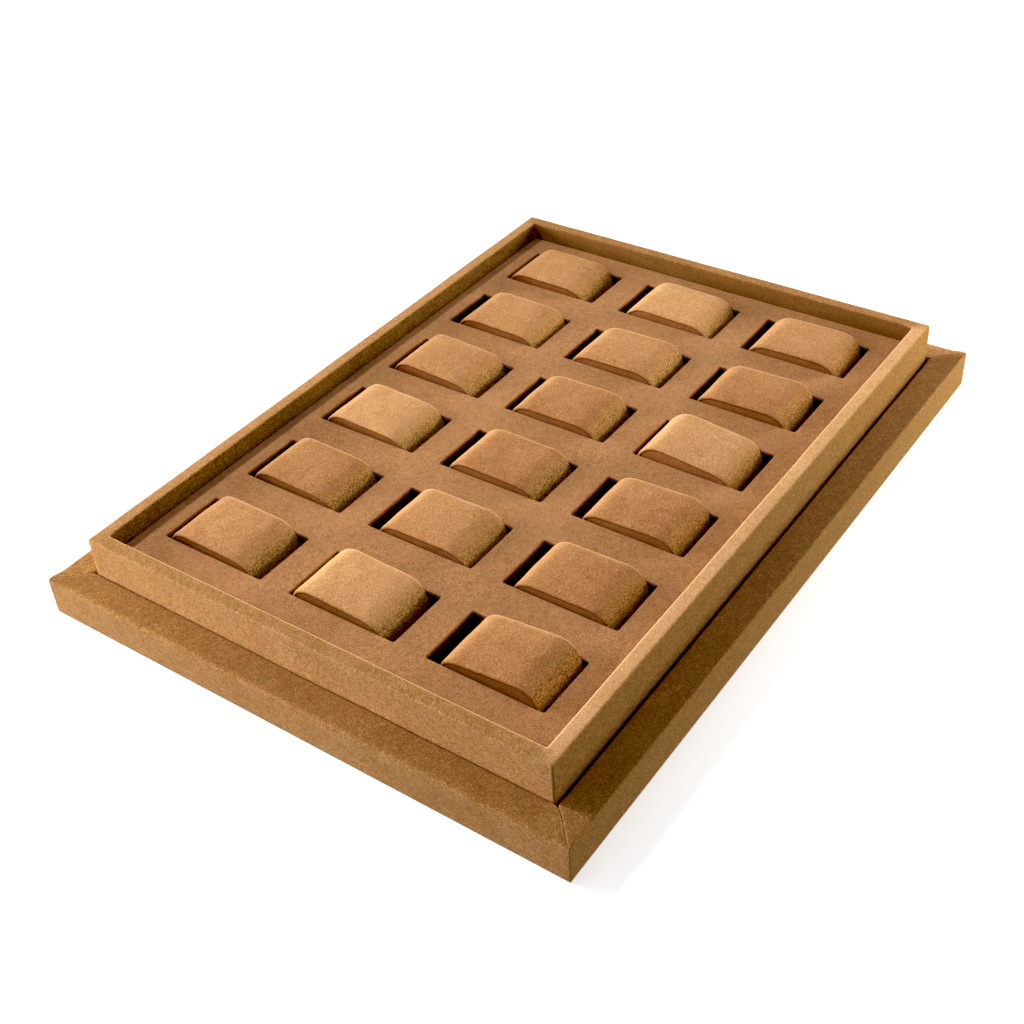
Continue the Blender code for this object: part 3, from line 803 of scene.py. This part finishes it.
def window_boxes():
    """Clear opening of each deck window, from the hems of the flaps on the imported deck."""
    hem = [v.co.copy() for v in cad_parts["deck_cover"].data.vertices if v.co.z < flap_foot + on_edge]
    centres = {}
    for row, column in pillow_tags():
        low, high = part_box(f"pillow_cover_{row}{column}")
        centres[row, column] = (low + high).xy / 2
    groups = {tag: [] for tag in centres}
    for spot in hem:
        nearest = min(centres, key=lambda tag: (centres[tag] - spot.xy).length)
        groups[nearest].append(spot)
    inset = Vector((sizes().suede, sizes().suede))
    boxes = {}
    for tag, spots in groups.items():
        low = Vector((min(p.x for p in spots), min(p.y for p in spots))) + inset
        high = Vector((max(p.x for p in spots), max(p.y for p in spots))) - inset
        boxes[tag] = (low, high)
    return boxes


def cell_lines(boxes, axis, low_end, high_end):
    """Lines that part a sheet into one cell for each window, along one axis."""
    tags = [tag for tag in boxes if tag[axis] == 1]
    lines = [(boxes[one][1][axis] + boxes[two][0][axis]) / 2 for one, two in zip(tags, tags[1:])]
    return [low_end, *lines, high_end]


def window_rings(low, high, cell_low, cell_high, radius, drop, lip, foot):
    """Rings of points from a flap's hem, up into the deck and out to the cell's edge.

    drop is the depth of the flap, lip the radius where it turns over, foot the deck's height.
    """
    middle = (low + high) / 2
    half = (high - low) / 2
    flap_cuts = max(1, math.ceil((drop - lip) / flap_step))
    rings = [(0.0, foot - drop + (drop - lip) * cut / flap_cuts) for cut in range(flap_cuts)]
    rings.append((0.0, foot - lip - beside_lip))
    for cut in range(fold_steps + 1):
        angle = math.pi / 2 * cut / fold_steps
        rings.append((lip * (1 - math.cos(angle)), foot - lip + lip * math.sin(angle)))
    rings += [(lip + beside_lip, foot), (lip + flat_beside_lip, foot)]
    loops = []
    for grow, height in rings:
        flat = rounded_loop(half.x + grow, half.y + grow, radius + grow, *window_cuts, corner_steps)
        loops.append([Vector((p.x + middle.x, p.y + middle.y, height)) for p in flat])
    last = loops[-1]
    edge = square_loop(cell_low, cell_high, *window_cuts, corner_steps)
    for share in cell_shares:
        loops.append([p.lerp(Vector((q.x, q.y, foot)), share) for p, q in zip(last, edge)])
    return loops


def side_of(value, low, high):
    """-1 or 1 at the low or the high end of a span, and 0 between them."""
    return (value > high - on_edge) - (value < low + on_edge)


def turn_edge_down(piece, low, high, radius, skirt):
    """Round the sheet's outer border over, where it meets the given corners, and turn it down."""
    angles = [math.pi / 2 * step / edge_steps for step in range(1, edge_steps + 1)]
    steps = [(radius * math.sin(angle), radius * (1 - math.cos(angle))) for angle in angles]
    steps.append((radius, radius + skirt))
    with opened_mesh(piece) as bm:
        border = []
        for edge in (edge for edge in bm.edges if edge.is_boundary):
            if all(side_of(v.co.x, low.x, high.x) or side_of(v.co.y, low.y, high.y) for v in edge.verts):
                border.append(edge)
        reached = (0.0, 0.0)
        for out, down in steps:
            grown = bmesh.ops.extrude_edge_only(bm, edges=border)["geom"]
            border = [item for item in grown if isinstance(item, bmesh.types.BMEdge)]
            for vert in (item for item in grown if isinstance(item, bmesh.types.BMVert)):
                vert.co.x += side_of(vert.co.x, low.x, high.x) * (out - reached[0])
                vert.co.y += side_of(vert.co.y, low.y, high.y) * (out - reached[0])
                vert.co.z -= down - reached[1]
            reached = (out, down)


def close_foot(piece):
    """Close a block's underside round the feet of its cut-outs."""
    with opened_mesh(piece) as bm:
        foot = [edge for edge in bm.edges if edge.is_boundary]
        bmesh.ops.triangle_fill(bm, use_beauty=True, edges=foot, normal=(0.0, 0.0, -1.0))
        bmesh.ops.recalc_face_normals(bm, faces=bm.faces)


def windowed_sheet(name, boxes, low, high, material, radius, drop, lip, foot):
    """Sheet between two corners with a window in each of its cells, turned down into it as a flap."""
    lines_x = cell_lines(boxes, 0, low.x, high.x)
    lines_y = cell_lines(boxes, 1, low.y, high.y)
    points = []
    faces = []
    for (row, column), (window_low, window_high) in boxes.items():
        cell_low = Vector((lines_x[column - 1], lines_y[row - 1]))
        cell_high = Vector((lines_x[column], lines_y[row]))
        loops = window_rings(window_low, window_high, cell_low, cell_high, radius, drop, lip, foot)
        faces += lattice_faces(len(loops), len(loops[0]), True, True, len(points))
        points += [point for loop in loops for point in loop]
    piece = add_piece(name, points, faces, material)
    merge_points(piece, sheet_merge)
    return piece


def build_deck():
    """Deck suede with eighteen windows, their flaps turned down, and its edge turned down at the walls."""
    s = sizes()
    low = Vector((deck_low.x + deck_edge, deck_low.y + deck_edge))
    high = Vector((deck_high.x - deck_edge, deck_high.y - deck_edge))
    drop = deck_top - flap_foot
    piece = windowed_sheet(
        "deck_sheet", window_boxes(), low, high, deck_suede(), s.window_corner, drop, s.lip, deck_top
    )
    # Painted highlight along each window's lip and painted shade down in each pocket, in the points' tone
    for vert, tone in zip(piece.data.vertices, piece.data.attributes["nap"].data):
        below = deck_top - vert.co.z
        at_lip = lip_highlight * smooth_step(below, *lip_highlight_start) * (1 - smooth_step(below, *lip_highlight_end))
        tone.value = deck_tone + at_lip + pocket_shade * smooth_step(below, *pocket_shade_depths)
        share = min(max(1 - below / wave_depth, 0.0), 1.0)
        wave = deck_wave_share * s.slack * ripple(vert.co, deck_wave, deck_seed)
        vert.co.z += share * (wave - s.slack)
    turn_edge_down(piece, low, high, deck_edge, deck_skirt)
    thicken(piece, s.suede)
    dress(piece, "tray", "deck_suede", "deck_cover")


def build_blocks():
    """Foam blocks below the deck, one for each row, with a cut-out round each pocket."""
    c = colours()
    foam = cut_foam("cut_foam", c.foam_light, c.foam_dark, cell=0.9 * mm)
    boxes = window_boxes()
    grow = Vector((block_gap, block_gap))
    edge = Vector((block_edge, block_edge))
    for row in range(1, rows + 1):
        node = f"pocket_block_row_{row}"
        low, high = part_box(node)
        height = high.z - low.z
        own = {(1, tag[1]): (box[0] - grow, box[1] + grow) for tag, box in boxes.items() if tag[0] == row}
        inner = (low.xy + edge, high.xy - edge)
        name = f"foam_block_{row}"
        piece = windowed_sheet(name, own, *inner, foam, block_corner, height, block_edge, high.z)
        turn_edge_down(piece, *inner, block_edge, height - block_edge)
        close_foot(piece)
        dress(piece, "tray", "block_foam", node)


# Pillows

# How far apart the points of a pillow's outline lie, how round its ends are and how near points are joined
pillow_step = 1.7 * mm
pillow_shoulder = 11.4 * mm
cover_merge = 0.02 * mm
# Where a side panel's rings lie between its middle and its rim, as shares, and how far inside the rim it is
panel_ring_shares = (1.0, 0.86, 0.7, 0.52, 0.36, 0.22, 0.12, 0.06)
panel_inset = 0.12 * mm
# Where a rim's rings lie, as shares of its quarter turn, and how far from it the band's rings start
rim_ring_shares = (-0.25, 0.0, 0.25, 0.5, 0.75, 1.0)
band_start = 1.3 * mm
band_rings = 9
# How wide a bead is and how far from the rim
bead_width = 1.3 * mm
bead_place = 0.3 * mm
# How far a band's face may turn downwards and still be free to swell, as a share
overhang_share = 0.3
# How light a pillow's side panels are painted, partly the nap's own tone and partly painted shade, how much
# of its band's tone they share, and the painted shade on its panels and its band where they sink into the
# deck
panel_tone = -0.3
panel_share = 0.4
panel_sunk_shade_tone = -0.1
sunk_shade_tone = -0.3
# Painted shade along the foot of its left rim, beside the panel, and painted highlight along its right rim's
# fold
left_rim_shade = -0.9
right_rim_highlight = 0.9
# How many times the outline is evened out, so that the stuffing turns gently from top to end
evening_rounds = 5
# How freely the cover may swell: on its rim, and on its band beside the rim and as it goes away from it
rim_freedom = 0.15
band_freedom = 0.2
freedom_reach = 6 * mm
# A cover's small waves: their length and height, how high they are at least, as a share, and the first seed
cover_wave = 14 * mm
cover_wave_height = 0.22 * mm
least_wave_share = 0.3
cover_seed = 31
# How light a pillow's nap looks where a hand left it brushed up, half up or down, as shares
brushed_up = 0.72
brushed_half = 0.44
brushed_down = 0.27
# Pillows that were left brushed up, and down, by row and column. The others are half up.
pillows_up = ((1, 4), (2, 1), (2, 6), (3, 3))
pillows_down = ((1, 1), (1, 2), (1, 3), (1, 5), (2, 3), (2, 4), (3, 2))
# How far each pillow swells over its pocket's back, as shares, by row from the front
fill_shares = (
    (0.0, 0.2, 0.3, 0.9, 0.5, 0.7),
    (0.6, 0.2, 0.8, 0.8, 0.8, 1.0),
    (0.5, 0.5, 0.8, 0.3, 0.7, 0.6),
)
# How far above and below the deck a pillow's back swells
back_reach = 5 * mm
# How sharply that swelling and the spread above the deck keep to the pillow's ends
back_power = 6
spread_power = 3
# Heights above the deck between which a pillow starts to spread, and between which its painted shade where
# it sinks in ends
spread_heights = (0.3 * mm, 3 * mm)
sunk_shade_heights = (-0.8 * mm, 1.6 * mm)


def band_profile(half_y, half_z, radius, step):
    """Outline of a pillow's band in (y, z), as even steps round a rounded rectangle."""
    runs = (half_y - radius, half_z - radius, radius * math.pi / 4)
    outline = rounded_loop(half_y, half_z, radius, *(2 * max(1, round(run / step)) for run in runs))
    for _ in range(evening_rounds):
        following = outline[1:] + outline[:1]
        outline = [(outline[i - 1] + 2 * outline[i] + following[i]) / 4 for i in range(len(outline))]
    return outline


def pillow_shape(half, shoulder):
    """Points and faces of a pillow round its own middle, how freely each point may swell, and its tones.

    The tones are the share of the pillow's own tone that a point takes, what is added to it, painted shade
    on the side panels and the left rim's foot and a painted highlight on the right rim's fold, and the
    painted shade added where it sinks into the deck.

    Rings run from the middle of one side panel, over its rim, across the band and into the other panel.
    """
    s = sizes()
    profile = band_profile(half.y, half.z, shoulder, pillow_step)
    headings = [profile[(i + 1) % len(profile)] - profile[i - 1] for i in range(len(profile))]
    normals = [Vector((h.y, -h.x)).normalized() for h in headings]
    spine = half.y - half.z
    rings = []
    for share in panel_ring_shares:
        rings.append(("panel", share, half.x - panel_inset - s.panel_depth * math.sin(math.pi / 2 * share)))
    for share in rim_ring_shares:
        turn = share * math.pi / 2
        inwards = s.pillow_rim * (1 - math.sin(turn))
        rings.append(("rim", inwards, half.x - s.pillow_rim * (1 - math.cos(turn))))
    across = np.linspace(half.x - s.pillow_rim - band_start, 0.0, band_rings)
    rings += [("band", 0.0, x) for x in across]
    rings += [(kind, value, -x) for kind, value, x in rings[-2::-1]]
    points = []
    free = []
    tones = []
    for kind, value, x in rings:
        for spot, normal in zip(profile, normals):
            tone = (1.0, 0.0, sunk_shade_tone)
            if kind == "panel":
                core = Vector((max(-spine, min(spine, spot.x)), 0.0))
                flat = (spot - normal * s.pillow_rim).lerp(core, value)
                looseness = 0.0
                tone = (panel_share, panel_tone, panel_sunk_shade_tone)
            elif kind == "rim":
                flat = spot - normal * value
                looseness = rim_freedom
                climb = 1 - value / s.pillow_rim
                fold = max(0.0, 2 * climb * math.sqrt(1 - climb ** 2))
                tone = (1.0, right_rim_highlight * fold if x > 0 else left_rim_shade * (1 - climb) ** 2, sunk_shade_tone)
            else:
                from_rim = half.x - s.pillow_rim - abs(x)
                bead = s.bead * bell(from_rim, bead_width, bead_place) * max(0.0, normal.y + overhang_share)
                upper = max(0.0, normal.y)
                dome = (1 - (x / half.x) ** 2) * (1 - (spot.x / half.y) ** 2) * s.crown * upper
                flat = spot + normal * bead + Vector((0.0, dome))
                held = normal.y <= -overhang_share
                looseness = 0.0 if held else min(1.0, band_freedom + from_rim / freedom_reach)
            points.append(Vector((x, flat.x, flat.y)))
            free.append(looseness)
            tones.append(tone)
    return points, lattice_faces(len(rings), len(profile), True), free, tones


def measure_pillow(row, column):
    """Middle, lean and half sizes of a packed pillow, from its core and its cover."""
    core = np.array([v.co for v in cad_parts[f"pillow_core_{row}{column}"].data.vertices])
    cover = np.array([v.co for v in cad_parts[f"pillow_cover_{row}{column}"].data.vertices])
    middle = (core.min(0) + core.max(0)) / 2
    spread = (core - middle)[:, 1:]
    values, axes = np.linalg.eigh(spread.T @ spread)
    along = axes[:, int(np.argmax(values))]
    along = along * (1.0 if along[0] > 0 else -1.0)
    lean = math.atan2(along[1], along[0])
    turn = np.array([[math.cos(lean), -math.sin(lean)], [math.sin(lean), math.cos(lean)]])
    local = (cover - middle)[:, 1:] @ turn
    half = Vector((np.abs(cover[:, 0] - middle[0]).max(), np.abs(local[:, 0]).max(), -local[:, 1].min()))
    return Vector(middle), lean, half


# A cover is simulated ten times as large, because the cloth solver is tuned to things about a metre across
cloth_scale = 10.0
cloth_frames = 20
cloth_settings = {
    "vertex_group_mass": "held",
    "use_pressure": True,
    "mass": 0.1,
    "tension_stiffness": 12.0,
    "compression_stiffness": 12.0,
    "bending_stiffness": 1.5,
}
# How hard each of the covers that the pillows share is blown up, how far a point may move, and the
# smallest move that counts as one
cover_pressures = (3.0, 4.0, 5.0)
swell_limit = 1.2 * mm
least_move = 1e-9


def swell_cloth(points, faces, free, pressure):
    """Blow a cover up against its foam with a cloth simulation and return where its points end up."""
    mesh = bpy.data.meshes.new("cover_trial")
    mesh.from_pydata([tuple(p * cloth_scale) for p in points], [], faces)
    trial = bpy.data.objects.new("cover_trial", mesh)
    bpy.context.scene.collection.objects.link(trial)
    held = trial.vertex_groups.new(name="held")
    for index, looseness in enumerate(free):
        held.add([index], 1.0 - looseness, "REPLACE")
    cloth = trial.modifiers.new("cloth", "CLOTH")
    for name, value in cloth_settings.items():
        setattr(cloth.settings, name, value)
    cloth.settings.uniform_pressure_force = pressure
    cloth.settings.effector_weights.gravity = 0.0
    cloth.point_cache.frame_start = 1
    cloth.point_cache.frame_end = cloth_frames
    for number in range(1, cloth_frames + 1):
        bpy.context.scene.frame_set(number)
    evaluated = trial.evaluated_get(bpy.context.evaluated_depsgraph_get())
    settled = [v.co / cloth_scale for v in evaluated.data.vertices]
    bpy.data.objects.remove(trial, do_unlink=True)
    bpy.context.scene.frame_set(1)
    ends = []
    for start, end in zip(points, settled):
        move = end - start
        ends.append(start + move * min(1.0, swell_limit / max(move.length, least_move)))
    return ends


def place_cover(cover, free, row, column, half, seed):
    """Points of a cover in its pocket, with its own small waves, spread and swollen back."""
    s = sizes()
    middle, lean, _ = measure_pillow(row, column)
    place = Matrix.Translation(middle) @ Matrix.Rotation(lean, 4, "X")
    fullness = s.back_fill * fill_shares[row - 1][column - 1]
    shaped = []
    for spot, looseness in zip(cover, free):
        stray = cover_wave_height * ripple(spot, cover_wave, seed) * (least_wave_share + looseness)
        at = place @ (spot + spot.normalized() * stray)
        above = at.z - deck_top
        outward = max(-1.0, min(1.0, (at.x - middle.x) / half.x))
        at.x += s.spread * outward ** spread_power * smooth_step(above, *spread_heights)
        backward = max(0.0, (at.y - middle.y) / half.y)
        at.y += fullness * backward ** back_power * bell(above, back_reach)
        shaped.append(at)
    return shaped


def build_pillows():
    """Eighteen stuffed pillows, each a suede band with a flat panel on each side."""
    s = sizes()
    half = measure_pillow(1, 1)[2]
    half.x += s.press
    points, faces, free, tones = pillow_shape(half, pillow_shoulder)
    suede = pillow_suede()
    covers = [points]
    covers = [swell_cloth(points, faces, free, pressure) for pressure in cover_pressures]
    for index, (row, column) in enumerate(pillow_tags()):
        shaped = place_cover(covers[index % len(covers)], free, row, column, half, index + cover_seed)
        brushed = brushed_half
        if (row, column) in pillows_up:
            brushed = brushed_up
        elif (row, column) in pillows_down:
            brushed = brushed_down
        nap = []
        # Each point's tone, with the painted shade where it sinks into the deck
        for at, (share, added, sunk_shade) in zip(shaped, tones):
            sunk = 1 - smooth_step(at.z - deck_top, *sunk_shade_heights)
            nap.append(brushed * share + added + sunk_shade * sunk)
        tag = f"{row}{column}"
        piece = add_piece("pillow_" + tag, shaped, faces, suede, nap)
        merge_points(piece, cover_merge)
        smooth = piece.modifiers.new("smooth", "SUBSURF")
        smooth.levels = 1
        smooth.render_levels = 1
        dress(piece, "pillow_" + tag, "suede", "pillow_cover_" + tag, "pillow_core_" + tag)


# Stage

camera_place = Vector((-0.52053, -0.37457, 0.49772))
camera_aim = Vector((-0.0556, -0.0195, 0.0300))
camera_roll = math.radians(-3.964)
camera_lens = 50.469
camera_sensor = 36.0
camera_near = 0.01
key_heading = Vector((-0.37, 0.93)).normalized()
key_height = math.radians(50.0)
key_distance = 1.25
key_size = 0.12
key_power = 9.1
# Soft boxes: place, the point that it shines at, width and height, power in watts
soft_boxes = {
    "back_box": ((-0.35, 1.0, 0.25), (0.0, 0.1, 0.03), (0.6, 0.3), 14.0),
    "right_box": ((0.60, -0.40, 0.15), (0.1, -0.1, 0.03), (0.3, 0.2), 5.4),
    "left_box": ((-0.80, 0.50, 0.08), (-0.2, 0.08, 0.03), (0.6, 0.14), 4.6),
    "top_box": ((0.1, 0.1, 1.3), (0.0, 0.0, 0.0), (1.2, 1.2), 2.7),
}
lamp_colour = (1.0, 0.985, 0.96)
white = (1.0, 1.0, 1.0)
sky_strength = 0.22
table_white = (0.86, 0.86, 0.86)
floor_reach = 6.0
floor_glow = 0.52
black_level = 0.018


def add_light(name, place, aim, size, power):
    """Add a soft rectangular light that shines at a point."""
    lamp = bpy.data.lights.new(name, "AREA")
    lamp.shape = "RECTANGLE"
    lamp.size, lamp.size_y = size
    lamp.energy = power
    lamp.color = lamp_colour
    holder = bpy.data.objects.new(name, lamp)
    bpy.context.scene.collection.objects.link(holder)
    holder.location = place
    holder.rotation_euler = (Vector(aim) - Vector(place)).to_track_quat("-Z", "Y").to_euler()
    holder.visible_camera = False


def set_sky(scene):
    """Faint even light from all round."""
    world = bpy.data.worlds.new("studio")
    world.use_nodes = True
    connect(world.node_tree, world.node_tree.nodes["Background"], {"Color": white, "Strength": sky_strength})
    scene.world = world


def set_camera(scene):
    """Camera at the photographed angle, with its slight roll."""
    data = bpy.data.cameras.new("camera")
    data.lens = camera_lens
    data.sensor_width = camera_sensor
    data.clip_start = camera_near
    camera = bpy.data.objects.new("camera", data)
    scene.collection.objects.link(camera)
    forward = (camera_aim - camera_place).normalized()
    level = forward.cross(Vector((0.0, 0.0, 1.0))).normalized()
    upright = level.cross(forward)
    right = level * math.cos(camera_roll) + upright * math.sin(camera_roll)
    up = right.cross(forward)
    turn = Matrix((right, up, -forward)).transposed().to_4x4()
    camera.matrix_world = Matrix.Translation(camera_place) @ turn
    scene.camera = camera


def add_floor(scene):
    """White table, lit a little from within so that it is as white as a studio's paper.

    It is hidden from bounced light, so that its glow doesn't light the tray from below.
    """
    corners = [(x * floor_reach, y * floor_reach, 0.0) for x, y in ((-1, -1), (1, -1), (1, 1), (-1, 1))]
    mesh = bpy.data.meshes.new("floor")
    mesh.from_pydata(corners, [], [(0, 1, 2, 3)])
    floor = bpy.data.objects.new("floor", mesh)
    scene.collection.objects.link(floor)
    material, tree, shader = new_material("white_table")
    connect(tree, shader, {"Base Color": table_white, "Roughness": 0.9})
    connect(tree, shader, {"Emission Color": white, "Emission Strength": floor_glow})
    mesh.materials.append(material)
    floor.visible_diffuse = False


def build_stage():
    """White floor, soft light from the back left, and the camera."""
    scene = bpy.context.scene
    scene.view_settings.view_transform = "Standard"
    scene.view_settings.use_curve_mapping = True
    scene.view_settings.curve_mapping.black_level = (black_level, black_level, black_level)
    set_camera(scene)
    add_floor(scene)
    middle = Vector((0.0, 0.0, tray_top))
    rise = Vector((*(key_heading * math.cos(key_height)), math.sin(key_height)))
    add_light("key_light", middle + rise * key_distance, middle, (key_size, key_size), key_power)
    for name, setting in soft_boxes.items():
        add_light(name, *setting)
    set_sky(scene)


def dress_boards():
    """Give the boards that carry the suede their own finish."""
    c = colours()
    rough_face = {"grain": 1.2 * mm, "stretch": 3.0, "roughness": (0.7, 0.9), "depth": 0.1 * mm}
    smooth_face = {"grain": 0.8 * mm, "stretch": 1.5, "roughness": (0.5, 0.7), "depth": 0.05 * mm}
    raw = grained_board("raw_fibreboard", c.board_light, c.board_dark, **rough_face)
    hard = grained_board("pressed_hardboard", c.hard_light, c.hard_dark, **smooth_face)
    finishes = {"base_rail": raw, "tray_wall": raw, "base_board": hard, "tray_floor": hard}
    for name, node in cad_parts.items():
        for start, finish in finishes.items():
            if name.startswith(start):
                node.data.materials.clear()
                node.data.materials.append(finish)


# Operators


class WATCHTRAY_OT_stage(bpy.types.Operator):
    """Add the floor, the lights and the camera"""

    bl_idname = "watch_tray.stage"
    bl_label = "Stage"

    def execute(self, context):
        build_stage()
        return {"FINISHED"}


class WATCHTRAY_OT_boards(bpy.types.Operator):
    """Finish the rails, walls and boards that carry the suede"""

    bl_idname = "watch_tray.boards"
    bl_label = "Boards"

    def execute(self, context):
        dress_boards()
        return {"FINISHED"}


class WATCHTRAY_OT_base_strips(bpy.types.Operator):
    """Wrap the base rails in four mitred suede strips"""

    bl_idname = "watch_tray.base_strips"
    bl_label = "Base strips"

    def execute(self, context):
        build_base_strips()
        return {"FINISHED"}


class WATCHTRAY_OT_linings(bpy.types.Operator):
    """Lay the linings on the base board, below the base and on the tray's floor"""

    bl_idname = "watch_tray.linings"
    bl_label = "Linings"

    def execute(self, context):
        for lining in linings:
            lining_sheet(*lining)
        return {"FINISHED"}


class WATCHTRAY_OT_band(bpy.types.Operator):
    """Wrap the tray's walls in one suede band"""

    bl_idname = "watch_tray.band"
    bl_label = "Tray band"

    def execute(self, context):
        build_band()
        return {"FINISHED"}


class WATCHTRAY_OT_blocks(bpy.types.Operator):
    """Make the foam blocks that line the pockets"""

    bl_idname = "watch_tray.blocks"
    bl_label = "Pocket blocks"

    def execute(self, context):
        build_blocks()
        return {"FINISHED"}


class WATCHTRAY_OT_deck(bpy.types.Operator):
    """Lay the windowed deck suede"""

    bl_idname = "watch_tray.deck"
    bl_label = "Deck"

    def execute(self, context):
        build_deck()
        return {"FINISHED"}


class WATCHTRAY_OT_pillows(bpy.types.Operator):
    """Stuff the eighteen pillows and stand them in their pockets"""

    bl_idname = "watch_tray.pillows"
    bl_label = "Pillows"

    def execute(self, context):
        build_pillows()
        return {"FINISHED"}


steps = (
    WATCHTRAY_OT_stage,
    WATCHTRAY_OT_boards,
    WATCHTRAY_OT_base_strips,
    WATCHTRAY_OT_linings,
    WATCHTRAY_OT_band,
    WATCHTRAY_OT_blocks,
    WATCHTRAY_OT_deck,
    WATCHTRAY_OT_pillows,
)


class WATCHTRAY_PT_panel(bpy.types.Panel):
    """Lists the steps with their sizes and colours"""

    bl_idname = "WATCHTRAY_PT_panel"
    bl_label = "Watch tray"
    bl_space_type = "VIEW_3D"
    bl_region_type = "UI"
    bl_category = "Watch tray"

    def draw(self, context):
        layout = self.layout
        for step in steps:
            layout.operator(step.bl_idname)
        for group in (context.scene.tray_sizes, context.scene.tray_colours):
            box = layout.box()
            for name in group.__annotations__:
                box.prop(group, name)


classes = (TraySizes, TrayColours, *steps, WATCHTRAY_PT_panel)


def register():
    for item in classes:
        bpy.utils.register_class(item)
    bpy.types.Scene.tray_sizes = PointerProperty(type=TraySizes)
    bpy.types.Scene.tray_colours = PointerProperty(type=TrayColours)


def unregister():
    del bpy.types.Scene.tray_colours
    del bpy.types.Scene.tray_sizes
    for item in reversed(classes):
        bpy.utils.unregister_class(item)


def main():
    """Dress the tray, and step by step."""
    register()
    for step in steps:
        group, name = step.bl_idname.split(".")
        getattr(getattr(bpy.ops, group), name)()


if __name__ == "__main__":
    main()
